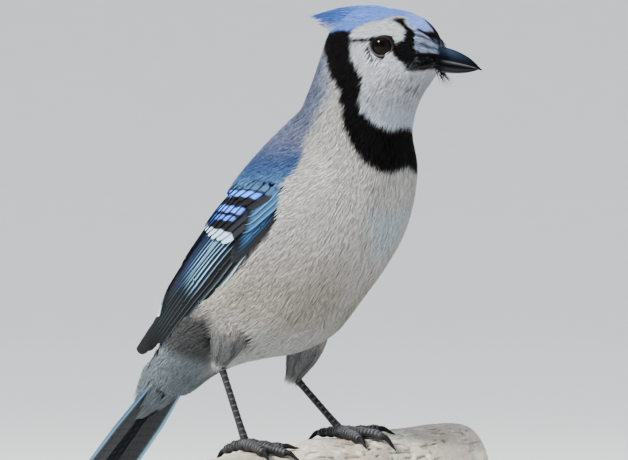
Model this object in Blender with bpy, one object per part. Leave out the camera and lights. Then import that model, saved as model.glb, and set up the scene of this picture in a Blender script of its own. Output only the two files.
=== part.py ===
"""A blue jay, life size, gripping a short cut length of branch on a plain display stand.

Lengths are in millimetres in the bird's own frame and become metres where a mesh is made.
The bird faces +X, its left is +Y and +Z is up. Its frame starts on the branch between the
feet, and the part's own origin is the middle of the base's underside.
"""

import math
import random

import bmesh
import bpy
import numpy as np

MM = 0.001
SIDES = ((-1, "right"), (1, "left"))
GAP = 0.3  # left between pieces that touch
SEED = 7

# The stand and the branch
FLOOR_DROP = 76.0  # from the branch's top between the feet down to the floor
BASE_CENTRE = (-8.0, 0.0)  # under the weight of the bird and the branch
BASE_SIZE = (130.0, 150.0, 12.0)
BASE_CORNER = 26.0
ROD_RADIUS = 3.0
ROD_SPACING = 62.0
ROD_SOCKET = 8.0  # how deep a rod sits in the base and in the branch
PERCH_LENGTH = 150.0
PERCH_HALF_WIDTH = 29.0
PERCH_HALF_HEIGHT = 20.0
PERCH_SQUARENESS = 2.5
PERCH_HEADING = 69.5  # degrees from +X, seen from above
PERCH_RISE = 7.0  # degrees, up towards the bird's left
BARK_RELIEF = 0.9

# Body sections from the tail root to the bill: back (x, z), underside (x, z), half width,
# and how far the section is turned to the bird's left, in degrees
HEAD_AXIS_X = 45.0  # the neck and head turn about the upright line here
SECTIONS = (
    (-70.0, 46.0, -62.0, 20.0, 14.0, 0.0),
    (-64.0, 57.0, -50.0, 27.5, 19.0, 0.0),
    (-57.0, 67.0, -36.0, 32.5, 23.5, 0.0),
    (-49.0, 77.0, -20.0, 35.5, 27.5, 0.0),
    (-41.0, 87.0, -3.5, 38.0, 29.5, 0.0),
    (-34.0, 97.0, 12.5, 44.5, 30.5, 0.0),
    (-27.0, 106.5, 26.0, 57.5, 30.5, 0.0),
    (-18.5, 115.5, 39.3, 71.5, 30.0, 0.0),
    (-8.8, 124.0, 50.0, 86.0, 28.5, 0.0),
    (2.0, 131.8, 56.0, 100.5, 26.3, 2.0),
    (11.0, 138.8, 58.8, 114.0, 23.5, 7.0),
    (15.4, 146.2, 57.5, 127.0, 21.0, 13.0),
    (18.6, 153.6, 59.5, 137.0, 19.3, 19.0),
    (21.2, 161.2, 62.8, 144.2, 17.6, 24.0),
    (24.0, 169.2, 65.4, 148.0, 16.6, 26.0),
    (28.5, 176.4, 66.9, 150.2, 16.0, 26.0),
    (36.0, 180.6, 68.3, 152.0, 15.4, 26.0),
    (46.0, 180.9, 69.4, 153.3, 14.6, 26.0),
    (56.0, 179.5, 70.3, 154.2, 13.2, 26.0),
    (63.5, 176.5, 71.0, 154.8, 11.2, 26.0),
    (68.5, 171.9, 71.4, 155.2, 8.8, 26.0),
    (70.8, 167.0, 71.6, 155.6, 6.4, 26.0),
)
TAIL_CUT = 0.0
NECK_CUT = 9.6
HEAD_CUT = 12.5
SQUARENESS = 2.25

# Folded wings: a line from the wrist to the tip, seen from the side, and the arch over it
WRIST = (28.9, 110.0)
WING_TIP = (-78.0, 39.0)
ARCH_AT = (0.0, 12.0, 26.0, 42.0, 56.0, 70.0, 85.0, 107.0, 129.0)
ARCH_RISE = (35.0, 34.0, 32.4, 29.0, 25.0, 21.0, 17.0, 11.2, 7.4)
ARCH_HALF_WIDTH = (28.0, 30.0, 31.2, 31.8, 31.2, 29.2, 26.0, 19.4, 12.6)
ARCH_DROP = (26.0, 28.0, 30.0, 31.0, 31.0, 29.0, 26.0, 20.0, 14.0)
EDGE_AT = (0.0, 12.0, 27.0, 45.0, 66.0, 84.0, 100.0, 117.0, 129.0)
LOWER_EDGE = (-2.0, -10.0, -16.5, -24.0, -30.0, -31.0, -32.0, -34.0, -34.0)
UPPER_EDGE = (22.0, 34.0, 43.0, 66.0, 89.0, 90.0, 90.0, 56.0, 16.0)
WING_DEPTH = 4.4
POCKET_DEPTH = 4.9
POCKET_SPREAD = (0.45, 0.9)  # beyond the wing's lower and upper edges
POCKET_TOP = 14.0
POCKET_AT = (75.0, 86.0, 97.0, 108.0, 119.0, 129.0, 136.0)  # behind the wing's flesh
WING_FLESH_AT = (2.0, 8.0, 18.0, 28.0, 38.0, 48.0, 58.0, 64.0)
WING_FLESH_TOP = (-1.6, -0.5, -0.3, -0.5, -1.5, -2.3, -3.0, -3.6)
# Tiers of the wing from the lowest feather up: count, root and tip of the first and of the
# last as (distance, angle), how the tips bow out between them, half width, lift at the root
# and at the tip, and the slope that tucks each feather under the next
WING_TIERS = {
    "outer_primary": (2, (20, -7), (24, -3), (90, -18), (118, -18), 0.0, 3.6, -2.0, -1.7, 0.3),
    "primary": (6, (28, 0), (42, 21), (129, -8), (116, 52), 5.0, 4.4, -2.1, -1.8, 0.3),
    "secondary": (5, (44, 25), (51, 50), (110, 59), (97, 75), 0.0, 5.4, -2.2, -1.8, 0.3),
    "tertial": (3, (50, 58), (55, 68), (90, 77), (76, 79), 0.0, 5.8, -1.8, -1.0, 0.22),
    "primary_covert": (3, (20, -4), (20, 4), (52, -12), (45, -3), 0.0, 3.0, -1.0, -0.5, 0.3),
    "greater_covert": (7, (20, 7), (52, 68), (46, 5), (65, 77), 2.5, 4.6, -1.0, -0.3, 0.25),
    "alula": (2, (12, 2), (12, 7), (37, -2), (33, 5), 0.0, 2.6, -0.6, 0.3, 0.25),
}

# Tail
TAIL_ROOT = (-35.7, 63.3)
TAIL_TIP = (-122.6, -27.0)
TAIL_FLESH = ((52.0, 14.0, 8.6), (62.0, 13.2, 5.4), (74.0, 12.6, 3.2), (80.0, 11.0, 2.0))
TAIL_PAIRS = 6
TAIL_VANE_LENGTH = 125.0
TAIL_VANE_HALF_WIDTH = 6.1
TAIL_SPREAD = 11.2  # from the middle to the outermost feather's shaft
TAIL_STEP = 0.92  # how far each pair lies under the one inside it

# Crest: where its line runs, from over the eyes back to the tip; its top, middle and half
# width along that line; and rows of feathers: count, start and end along it, half the angle
# that the row covers, half width of a feather, lift at its root and tip
CREST_AHEAD = (12.0, -28.3)
CREST_AT = (0.0, 0.3, 0.55, 0.8, 1.0)
CREST_TOP = (178.2, 181.0, 180.9, 179.2, 176.7)
CREST_MIDDLE = (170.0, 170.5, 172.0, 173.8, 175.5)
CREST_HALF_WIDTH = (9.0, 11.0, 9.5, 6.0, 2.6)
CREST_ROWS = (
    (5, 0.02, 0.5, 42.0, 3.2, 0.1, 0.3),
    (6, 0.26, 0.77, 80.0, 3.1, -0.3, 0.3),
    (7, 0.46, 0.99, 115.0, 2.8, -0.7, -0.1),
)

# Bill, in the head's plane
MOUTH_BACK = (66.0, 158.6)
MOUTH_CORNER = (62.6, 158.9)
NASAL_ROOTS = ((2.0, 168.6), (3.9, 166.4), (5.3, 163.8))
NOSTRIL = (30.0, 3.7, 161.3)  # ahead, to the side and up
NOSTRIL_RADIUS = 0.75
BILL_TIP = (88.8, 155.2)
BILL_AT = (0.0, 0.2, 0.35, 0.5, 0.68, 0.87, 1.0)
CULMEN_HEIGHT = (6.9, 6.5, 6.0, 5.2, 3.9, 1.8, 0.35)
CHIN_HEIGHT = (3.5, 3.4, 3.2, 2.8, 2.2, 1.2, 0.35)
BILL_HALF_WIDTH = (4.9, 4.4, 3.8, 3.0, 2.1, 1.0, 0.35)
BILL_BASE_X = 71.9

# Eyes
EYE_CENTRE = (50.0, 164.6)
EYE_OUT = 12.0
EYE_RADIUS = 5.0
LID_RADIUS = 4.7
LID_THICKNESS = 0.9

# Legs, right then left
HIPS = ((-6.0, -20.0, 60.0), (-6.0, 20.0, 60.0))
HEELS = ((-21.9, -22.3, 34.5), (-13.8, 15.5, 28.5))
FEET = ((-9.0, -20.3), (9.0, 20.3))
BALL_HEIGHT = 2.9  # middle of the foot's joint above the branch
ANKLE_STUB = 3.0  # how far the foot reaches up the leg
HEEL_ROOM = 2.6
TARSUS_AT = (0.0, 0.12, 0.5, 0.85, 1.0)
TARSUS_RADII = (2.2, 1.7, 1.45, 1.6, 1.9)
THIGH_AT = (0.0, 0.3, 0.55, 0.8, 1.0)
THIGH_RADII = (10.0, 10.5, 8.5, 5.5, 2.9, 2.3)
# Heading in degrees from straight ahead, length of the toe and of its claw
TOES = ((-24.0, 15.0, 7.0), (3.0, 20.0, 8.0), (30.0, 15.5, 7.0), (177.0, 12.0, 9.0))
TOE_RADII = (1.65, 1.2)
PAD_SWELL = 0.12
CLAW_RADIUS = 1.16
CLAW_TIP_RADIUS = 0.16
CLAW_ARCH = 1.6


# A vane's stations: along it, share of its width and of its thickness
SHORT_VANE = ((0.0, 0.55, 1.0), (0.45, 1.0, 1.0), (0.86, 0.9, 0.85), (1.0, 0.36, 0.6))
LONG_VANE = ((0.0, 0.5, 1.0), (0.3, 0.95, 1.0), (0.62, 1.0, 1.0), (0.9, 0.88, 0.85), (1.0, 0.36, 0.6))


def shade(rgb, roughness, metallic=0.0, name="finish"):
    material = bpy.data.materials.new(name)
    material.use_nodes = True
    shader = material.node_tree.nodes["Principled BSDF"]
    shader.inputs["Base Color"].default_value = (*rgb, 1.0)
    shader.inputs["Roughness"].default_value = roughness
    shader.inputs["Metallic"].default_value = metallic
    return material


def clear_scene():
    for thing in list(bpy.data.objects):
        bpy.data.objects.remove(thing, do_unlink=True)


def new_collection(name, hidden=False):
    made = bpy.data.collections.new(name)
    bpy.context.scene.collection.children.link(made)
    made.hide_render = hidden
    return made


def to_part(point):
    """From the bird's frame in millimetres to the part's in metres."""
    x, y, z = point
    return ((x - BASE_CENTRE[0]) * MM, (y - BASE_CENTRE[1]) * MM, (z + FLOOR_DROP) * MM)


def unit(vector):
    return vector / np.linalg.norm(vector)


def smooth_table(at, values, where):
    """A smooth curve through a short table: cubic pieces with averaged slopes."""
    at = np.asarray(at, float)
    values = np.asarray(values, float)
    slopes = np.gradient(values, at, axis=0)
    where = min(max(where, at[0]), at[-1])
    i = min(int(np.searchsorted(at, where, side="right")) - 1, len(at) - 2)
    i = max(i, 0)
    span = at[i + 1] - at[i]
    u = (where - at[i]) / span
    start = (1 + 2 * u) * (1 - u) ** 2 * values[i] + u * (1 - u) ** 2 * span * slopes[i]
    end = u * u * (3 - 2 * u) * values[i + 1] + u * u * (u - 1) * span * slopes[i + 1]
    return start + end


def rounded(angle, squareness):
    """A point of a superellipse of half sizes one."""
    c, s = math.cos(angle), math.sin(angle)
    power = 2.0 / squareness
    return math.copysign(abs(c) ** power, c), math.copysign(abs(s) ** power, s)


def head_frame(turn):
    ahead = np.array([math.cos(turn), math.sin(turn), 0.0])
    left = np.array([-math.sin(turn), math.cos(turn), 0.0])
    return ahead, left


def in_turned_plane(x, z, turn, out=0.0):
    """A point of the plane of symmetry, turned about the head's upright axis."""
    ahead, left = head_frame(turn)
    return np.array([HEAD_AXIS_X, 0.0, z]) + ahead * (x - HEAD_AXIS_X) + left * out


def section(t):
    """Centre, up, left and the half sizes of the body's section at t."""
    back_x, back_z, under_x, under_z, half, turn = smooth_table(
        range(len(SECTIONS)), SECTIONS, t
    )
    turn = math.radians(turn)
    back = in_turned_plane(back_x, back_z, turn)
    under = in_turned_plane(under_x, under_z, turn)
    up = unit(back - under)
    return (back + under) / 2, up, head_frame(turn)[1], np.linalg.norm(back - under) / 2, half


def body_ring(t, sides, grow=0.0, shift=0.0):
    centre, up, left, tall, wide = section(t)
    centre = centre + np.cross(left, up) * shift
    ring = []
    for i in range(sides):
        c, s = rounded(2 * math.pi * i / sides, SQUARENESS)
        ring.append(centre + up * c * (tall + grow) + left * s * (wide + grow))
    return ring


def make_object(name, mesh, material, collection):
    mesh.materials.clear()
    mesh.materials.append(material)
    thing = bpy.data.objects.new(name, mesh)
    collection.objects.link(thing)
    return thing


def finish_mesh(mesh, crease=40.0):
    mesh.shade_smooth()
    mesh.set_sharp_from_angle(angle=math.radians(crease))


def mesh_from(name, points, faces):
    mesh = bpy.data.meshes.new(name)
    mesh.from_pydata([to_part(p) for p in points], [], faces)
    shape = bmesh.new()
    shape.from_mesh(mesh)
    bmesh.ops.recalc_face_normals(shape, faces=shape.faces)
    shape.to_mesh(mesh)
    shape.free()
    return mesh


def loft(name, rings, material, collection, crease=40.0, banded=False):
    """A closed skin through rings of equal count, closed by a fan at each end.

    A banded ring, whose second half runs back beside its first, is closed by a strip.
    """
    sides = len(rings[0])
    points = [p for ring in rings for p in ring]
    faces = []
    for r in range(len(rings) - 1):
        for i in range(sides):
            a, b = r * sides + i, r * sides + (i + 1) % sides
            faces.append((a, b, b + sides))
            faces.append((a, b + sides, a + sides))
    for r in (0, len(rings) - 1):
        if banded:
            first, last = r * sides, r * sides + sides - 1
            for i in range(sides // 2 - 1):
                faces.append((first + i, first + i + 1, last - i - 1, last - i))
            continue
        hub = len(points)
        points.append(np.mean(rings[r], axis=0))
        faces += [(r * sides + i, r * sides + (i + 1) % sides, hub) for i in range(sides)]
    mesh = mesh_from(name, points, faces)
    finish_mesh(mesh, crease)
    return make_object(name, mesh, material, collection)


def tube(name, points, radii, material, collection, fineness=2):
    """A round tube of changing radius as a bevelled curve, made a mesh."""
    curve = bpy.data.curves.new(name, "CURVE")
    curve.dimensions = "3D"
    curve.bevel_depth = MM
    curve.bevel_resolution = fineness
    curve.use_fill_caps = True
    spline = curve.splines.new("POLY")
    spline.points.add(len(points) - 1)
    for knot, point, radius in zip(spline.points, points, radii):
        knot.co = (*to_part(point), 1.0)
        knot.radius = radius
    guide = bpy.data.objects.new(name + "_guide", curve)
    collection.objects.link(guide)
    seen = guide.evaluated_get(bpy.context.evaluated_depsgraph_get())
    mesh = bpy.data.meshes.new_from_object(seen)
    bpy.data.objects.remove(guide, do_unlink=True)
    shape = bmesh.new()
    shape.from_mesh(mesh)
    bmesh.ops.remove_doubles(shape, verts=shape.verts, dist=1e-6)
    bmesh.ops.recalc_face_normals(shape, faces=shape.faces)
    shape.to_mesh(mesh)
    shape.free()
    finish_mesh(mesh, 50.0)
    return make_object(name, mesh, material, collection)


def move_to(thing, collection):
    for owner in list(thing.users_collection):
        owner.objects.unlink(thing)
    collection.objects.link(thing)
    return thing


def apply_modifiers(thing):
    seen = thing.evaluated_get(bpy.context.evaluated_depsgraph_get())
    mesh = bpy.data.meshes.new_from_object(seen)
    thing.modifiers.clear()
    thing.data = mesh


def combine(thing, others, operation, solver="MANIFOLD"):
    """Joins or cuts with one Boolean on a collection and keeps the largest closed surface."""
    group = bpy.data.collections.new(thing.name + "_others")
    bpy.context.scene.collection.children.link(group)
    for other in others:
        for owner in list(other.users_collection):
            owner.objects.unlink(other)
        group.objects.link(other)
    change = thing.modifiers.new(operation.lower(), "BOOLEAN")
    change.operation = operation
    change.solver = solver
    change.operand_type = "COLLECTION"
    change.collection = group
    apply_modifiers(thing)
    for other in list(group.objects):
        bpy.data.objects.remove(other, do_unlink=True)
    bpy.data.collections.remove(group)
    keep_largest(thing.data)
    finish_mesh(thing.data)


def keep_largest(mesh):
    shape = bmesh.new()
    shape.from_mesh(mesh)
    left = set(shape.faces)
    groups = []
    while left:
        group, edge = set(), [left.pop()]
        while edge:
            face = edge.pop()
            group.add(face)
            for near in {n for e in face.edges for n in e.link_faces} & left:
                left.discard(near)
                edge.append(near)
        groups.append(group)
    groups.sort(key=lambda g: sum(f.calc_area() for f in g), reverse=True)
    spare = [face for group in groups[1:] for face in group]
    bmesh.ops.delete(shape, geom=spare, context="FACES")
    shape.to_mesh(mesh)
    shape.free()


def box(name, centre, size, material):
    """A plain block."""
    bpy.ops.mesh.primitive_cube_add(size=1.0, location=to_part(centre))
    block = bpy.context.object
    block.name = name
    block.scale = tuple(side * MM for side in size)
    bpy.ops.object.transform_apply(location=True, rotation=False, scale=True)
    block.data.materials.append(material)
    return block


def vane(name, place, stations, half_width, thickness, material, collection):
    """A feather's vane. place(u, w, h) gives a point along it, across it and above it.

    Both faces are split the same way, so that the thin vane never cuts itself.
    """
    points, faces = [], []
    for u, breadth, body in stations:
        w, t = half_width * breadth, thickness * body / 2
        points += [place(u, across, high) for across, high in ((-w, t), (w, t), (w, -t), (-w, -t))]
    for r in range(len(stations) - 1):
        a, b, c, d = range(r * 4, r * 4 + 4)
        faces += [(a, b, b + 4), (a, b + 4, a + 4), (d, d + 4, c + 4), (d, c + 4, c)]
        faces += [(b, c, c + 4), (b, c + 4, b + 4), (d, a, a + 4), (d, a + 4, d + 4)]
    last = 4 * len(stations) - 4
    faces += [(0, 3, 2), (0, 2, 1), (last, last + 1, last + 2), (last, last + 2, last + 3)]
    return make_object(name, mesh_from(name, points, faces), material, collection)


# Body


def body_piece(name, start, end, rings, sides, material, collection, cut_ends):
    """A length of the body between two sections, short of each by half the gap."""
    made = []
    for i in range(rings):
        t = start + (end - start) * i / (rings - 1)
        shift = 0.0
        if i == 0 and cut_ends[0]:
            shift = GAP / 2
        if i == rings - 1 and cut_ends[1]:
            shift = -GAP / 2
        made.append(body_ring(t, sides, 0.0, shift))
    return loft(name, made, material, collection)


# Wings


def wing_frame():
    line = np.array([WING_TIP[0] - WRIST[0], WING_TIP[1] - WRIST[1]])
    length = np.linalg.norm(line)
    along = line / length
    return along, np.array([along[1], -along[0]]), length


def arch_point(s, angle, side, lift=0.0):
    """A point on the arch of the folded wings: s along, angle in degrees up from the line."""
    along, rise, _ = wing_frame()
    height = smooth_table(ARCH_AT, ARCH_RISE if angle > 0 else ARCH_DROP, s) + lift
    width = smooth_table(ARCH_AT, ARCH_HALF_WIDTH, s) + lift
    a = math.radians(angle)
    over = max(s - ARCH_AT[-1], 0.0)
    x, z = np.array(WRIST) + along * (s if over == 0 else ARCH_AT[-1] + over)
    x += rise[0] * height * math.sin(a)
    z += rise[1] * height * math.sin(a)
    return np.array([x, side * width * math.cos(a), z])


def wing_edges(s, spread):
    """The angles between which the wing lies, each moved out by a spread in millimetres."""
    degree = math.radians(1.0) * smooth_table(ARCH_AT, ARCH_HALF_WIDTH, s)
    low = smooth_table(EDGE_AT, LOWER_EDGE, s) - spread[0] / degree
    return low, min(smooth_table(EDGE_AT, UPPER_EDGE, s) + spread[1] / degree, 96.0)


def wing_panel(name, side, stations, tops, bottom, spread, material, collection):
    """A curved slab under the arch of the folded wing."""
    across = 6
    made = []
    for s, top in zip(stations, tops):
        low, high = wing_edges(s, spread)
        angles = [low + (high - low) * k / across for k in range(across + 1)]
        outer = [arch_point(s, a, side, top) for a in angles]
        inner = [arch_point(s, a, side, bottom) for a in reversed(angles)]
        made.append(outer + inner)
    return loft(name, made, material, collection, banded=True)


def wing_pocket(side, material, collection):
    """The room that the wing takes from the torso."""
    stations = (-1.5, *WING_FLESH_AT, *POCKET_AT)
    tops = [POCKET_TOP] * len(stations)
    return wing_panel("pocket", side, stations, tops, -POCKET_DEPTH, POCKET_SPREAD, material, collection)


def wing_feather(side, root, tip, half_width, lifts, slope, material, collection):
    """One vane that lies on the arch, its upper edge tucked under the next one's lower edge."""
    span = np.array(tip, float) - np.array(root, float)

    def place(u, w, h):
        s, angle = np.array(root) + span * u
        reach = math.radians(1.0) * (smooth_table(ARCH_AT, ARCH_HALF_WIDTH, s) - 2.0)
        run = np.array([span[0], span[1] * reach])
        run = run / np.linalg.norm(run)
        lift = lifts[0] + (lifts[1] - lifts[0]) * u - slope * w + h
        return arch_point(s - run[1] * w, angle + run[0] * w / reach, side, lift)

    stations = LONG_VANE if span[0] > 40 else SHORT_VANE
    return vane("wing_vane", place, stations, half_width, 0.55, material, collection)


def wing(name, side, material, collection):
    flesh = wing_panel(
        name, side, WING_FLESH_AT, WING_FLESH_TOP, -WING_DEPTH, (-1.2, 0.0), material, collection
    )
    feathers = []
    for tier in WING_TIERS.values():
        count, first_root, last_root, first_tip, last_tip, bow, half, low, high, slope = tier
        for i in range(count):
            u = i / (count - 1)
            root = [a + (b - a) * u for a, b in zip(first_root, last_root)]
            tip = [a + (b - a) * u for a, b in zip(first_tip, last_tip)]
            tip[0] += bow * math.sin(math.pi * u) + random.uniform(-0.6, 0.6)
            feathers.append(
                wing_feather(side, root, tip, half, (low, high), slope, material, collection)
            )
    combine(flesh, feathers, "UNION")
    across = box("midline", (-90.0, -side * 40.0 + side * GAP / 2, 100.0), (260.0, 80.0, 260.0), material)
    combine(flesh, [across], "DIFFERENCE")
    return flesh


# Tail


def tail_frame():
    root, tip = np.array(TAIL_ROOT), np.array(TAIL_TIP)
    along = unit(tip - root)
    return root, along, np.array([along[1], -along[0]]), np.linalg.norm(tip - root)


def tail_point(s, across, lift):
    root, along, rise, _ = tail_frame()
    x, z = root + along * s + rise * lift
    return np.array([x, across, z])


def tail(material, collection):
    """The cone of coverts, the tail feathers in pairs and the coverts' own long feathers."""
    rings = [body_ring(TAIL_CUT, 16, 0.0, -GAP)]
    for s, half, thick in TAIL_FLESH:
        ring = []
        for i in range(16):
            c, q = rounded(2 * math.pi * i / 16, SQUARENESS)
            ring.append(tail_point(s, q * half, c * thick))
        rings.append(ring)
    flesh = loft("tail", rings, material, collection)
    feathers = []
    for k in range(TAIL_PAIRS):
        for side in (-1, 1):
            level = k * TAIL_STEP + (TAIL_STEP / 2 if side > 0 and k == 0 else 0.0)
            out = side * (1.6 + (TAIL_SPREAD - 1.6) * (k / (TAIL_PAIRS - 1)) ** 0.85)
            end = TAIL_VANE_LENGTH - 8.0 * (k / (TAIL_PAIRS - 1)) ** 2

            def place(u, w, h):
                s = 56.0 + (end - 56.0) * u
                shaft = out * (0.55 + 0.45 * u)
                return tail_point(s, shaft + w, 2.4 - level - 0.022 * abs(shaft + w) ** 1.5 + h)

            feathers.append(
                vane("tail_vane", place, LONG_VANE, TAIL_VANE_HALF_WIDTH, 0.6, material, collection)
            )
    for under in (False, True):
        for i in range(5):
            across = (i - 2) * 4.6
            face = -1.0 if under else 1.0
            reach = 70.0 if under else 76.0
            reach -= 2.6 * abs(i - 2)

            start = 53.0 if under else 46.0

            def place(u, w, h):
                s = start + (reach - start) * u
                height = 8.2 * (1 - u) + 4.6 * u
                fall = 0.035 * (across + w) ** 2 * (1 - 0.7 * u)
                return tail_point(s, across + w, face * (height - fall) + h)

            feathers.append(vane("tail_covert", place, SHORT_VANE, 3.8, 0.8, material, collection))
    combine(flesh, feathers, "UNION")
    return flesh


# Head


def on_head(ahead, left, up):
    """A point from the head's own axes: ahead and left of its upright axis, and its height."""
    return in_turned_plane(HEAD_AXIS_X + ahead, up, math.radians(SECTIONS[-1][5]), left)


def eye_place(side):
    return on_head(EYE_CENTRE[0] - HEAD_AXIS_X, side * EYE_OUT, EYE_CENTRE[1])


def sphere(name, centre, radius, material, collection):
    bpy.ops.mesh.primitive_uv_sphere_add(
        segments=12, ring_count=8, radius=radius * MM, location=to_part(centre)
    )
    made = bpy.context.object
    made.name = name
    made.data.materials.append(material)
    made.data.shade_smooth()
    return move_to(made, collection)


def lid(head, side, material):
    """The ring of both lids round an eye, lying on the face."""
    left = head_frame(math.radians(SECTIONS[-1][5]))[1]
    start = eye_place(side) + left * side * 20.0
    _, place, facing, _ = head.ray_cast(to_part(start), tuple(-side * left))
    bpy.ops.mesh.primitive_torus_add(
        major_segments=14,
        minor_segments=5,
        major_radius=LID_RADIUS * MM,
        minor_radius=LID_THICKNESS * MM,
        location=place,
        rotation=facing.to_track_quat("Z", "Y").to_euler(),
    )
    made = bpy.context.object
    made.data.materials.append(material)
    return made


def crest_point(u, angle, lift):
    """A point over the crest's line: u along it, angle round it from its top."""
    top, middle, wide = (smooth_table(CREST_AT, t, u) for t in (CREST_TOP, CREST_MIDDLE, CREST_HALF_WIDTH))
    ahead = CREST_AHEAD[0] + (CREST_AHEAD[1] - CREST_AHEAD[0]) * u
    over = (top - middle + lift) * math.cos(angle)
    return on_head(ahead, (wide + lift) * math.sin(angle), middle + over), (top - middle + wide) / 2


def crest_feather(start, end, angle, half_width, lifts, material, collection):
    """A vane that lies back along the crest and wraps round it."""

    def place(u, w, h):
        along = start + (end - start) * u
        lift = lifts[0] + (lifts[1] - lifts[0]) * u + h
        _, girth = crest_point(along, angle, lift)
        return crest_point(along, angle + w / girth, lift)[0]

    return vane("crest_vane", place, SHORT_VANE, half_width, 0.6, material, collection)


def crest(material, collection):
    feathers = []
    for count, start, end, cover, half_width, low, high in CREST_ROWS:
        for i in range(count):
            angle = math.radians(cover) * (2 * i / (count - 1) - 1)
            reach = end - 0.07 * abs(angle) * (end - start) + random.uniform(-0.025, 0.01)
            lifts = (low - 0.15 * (i % 2), high - 0.15 * (i % 2))
            feathers.append(crest_feather(start, reach, angle, half_width, lifts, material, collection))
    return feathers


def nasal_tufts(material, collection):
    """The bristly feathers that lie forward over the nostrils."""
    feathers = []
    for side in (-1, 1):
        for n, (left, up) in enumerate(NASAL_ROOTS):
            root = np.array([17.0, side * left, up])
            tip = np.array([28.8 - n, side * (3.0 + 1.2 * n), up - 4.8 + 1.1 * n])

            def place(u, w, h):
                ahead, out, high = root + (tip - root) * u
                out += side * 0.8 * math.sin(math.pi * u)
                return on_head(ahead, out + side * h, high + w)

            feathers.append(vane("nasal_vane", place, SHORT_VANE, 1.5, 0.8, material, collection))
    return feathers


def mouth_groove(head, side, material):
    """A thin blade along the mouth's line, from the bill back to the corner of the mouth."""
    turn = math.radians(SECTIONS[-1][5])
    _, left = head_frame(turn)
    rings = []
    for i in range(7):
        ahead = MOUTH_CORNER[0] + (BILL_BASE_X + 1.0 - MOUTH_CORNER[0]) * i / 6
        up = MOUTH_CORNER[1] + (BILL_TIP[1] - MOUTH_CORNER[1]) * (
            (ahead - MOUTH_CORNER[0]) / (BILL_TIP[0] - MOUTH_CORNER[0])
        )
        start = to_part(in_turned_plane(ahead, up, turn, side * 30.0))
        hit, place, _, _ = head.ray_cast(start, tuple(-side * left))
        reach = (np.linalg.norm(np.array(start) - np.array(place)) / MM) if hit else 24.0
        out = 30.0 - reach - (1.1 if i else 0.1)
        half = 0.32
        rings.append([
            in_turned_plane(ahead, up + half, turn, side * out),
            in_turned_plane(ahead, up + half, turn, side * 26.0),
            in_turned_plane(ahead, up - half, turn, side * 26.0),
            in_turned_plane(ahead, up - half, turn, side * out),
        ])
    return loft("groove", rings, material, bpy.context.scene.collection)


def dress_head(head, material, collection):
    """Crest, tufts and lids fused on, then the eye sockets, the bill's room and the mouth."""
    grooves = [mouth_groove(head, side, material) for side in (-1, 1)]
    grown = crest(material, collection) + nasal_tufts(material, collection)
    grown += [lid(head, side, material) for side in (-1, 1)]
    combine(head, grown, "UNION")
    sockets = [
        sphere("socket", eye_place(side), EYE_RADIUS + GAP, material, collection) for side in (-1, 1)
    ]
    room = [bill_half("room", upper, material, collection, GAP + 0.05) for upper in (True, False)]
    for cutter in sockets + room + grooves:
        combine(head, [cutter], "DIFFERENCE")


# Bill


def bill_half(name, upper, material, collection, grow=0.0):
    """One half of the bill, lofted from the face to its tip."""
    turn = math.radians(SECTIONS[-1][5])
    rings = []
    steps = 8
    for i in range(steps + 1):
        u = i / steps
        x = BILL_BASE_X + (BILL_TIP[0] - (0.0 if upper else 1.4) - BILL_BASE_X) * u
        run = (x - MOUTH_BACK[0]) / (BILL_TIP[0] - MOUTH_BACK[0])
        mouth = MOUTH_BACK[1] + (BILL_TIP[1] - MOUTH_BACK[1]) * run
        half = smooth_table(BILL_AT, BILL_HALF_WIDTH, u) + grow
        tall = smooth_table(BILL_AT, CULMEN_HEIGHT if upper else CHIN_HEIGHT, u) + 2 * grow
        face = 1 if upper else -1
        edge = mouth + face * (GAP / 2 - grow)
        ring = []
        for k in range(9):
            a = math.pi * (k / 8 - 0.5)
            ring.append((x - grow, edge + face * tall * math.cos(a) ** 0.85, half * math.sin(a)))
        ring += [(x - grow, edge, half * across) for across in (0.5, 0.0, -0.5)]
        ring = [in_turned_plane(a, c, turn, b) for a, c, b in ring]
        rings.append(ring)
    return loft(name, rings, material, collection)


# Perch


def perch_frame():
    heading, rise = math.radians(PERCH_HEADING), math.radians(PERCH_RISE)
    along = np.array([
        math.cos(heading) * math.cos(rise),
        math.sin(heading) * math.cos(rise),
        math.sin(rise),
    ])
    front = np.array([math.sin(heading), -math.cos(heading), 0.0])
    return along, front, np.cross(front, along)


def bark(a, angle):
    """Low swellings of the bark."""
    wave = math.sin(a * 0.11 + 2.0 * math.sin(angle)) * math.cos(2 * angle + a * 0.05)
    return BARK_RELIEF * (wave + 0.5 * math.sin(a * 0.21 + 3 * angle))


def perch_point(a, angle, lift=0.0):
    """On the branch's surface: a along it from between the feet, angle from its top."""
    along, front, up = perch_frame()
    c, s = rounded(angle, PERCH_SQUARENESS)
    grow = lift + bark(a, angle)
    middle = along * a - up * PERCH_HALF_HEIGHT
    return middle + up * c * (PERCH_HALF_HEIGHT + grow) + front * s * (PERCH_HALF_WIDTH + grow)


def perch_angle(arc):
    """The angle at which this arc length from the top is reached."""
    step, walked, angle = math.radians(1.0), 0.0, 0.0
    sign = math.copysign(1.0, arc)
    previous = np.zeros(2)
    while walked < abs(arc) and angle < math.pi:
        angle += step
        c, s = rounded(angle, PERCH_SQUARENESS)
        here = np.array([s * PERCH_HALF_WIDTH, (c - 1) * PERCH_HALF_HEIGHT])
        walked += np.linalg.norm(here - previous)
        previous = here
    return sign * angle


def perch(material, collection):
    rings = []
    steps, sides = 12, 22
    for i in range(steps + 1):
        a = PERCH_LENGTH * (i / steps - 0.5)
        rings.append([perch_point(a, 2 * math.pi * k / sides) for k in range(sides)])
    return loft("perch", rings, material, collection)


# Legs


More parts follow.
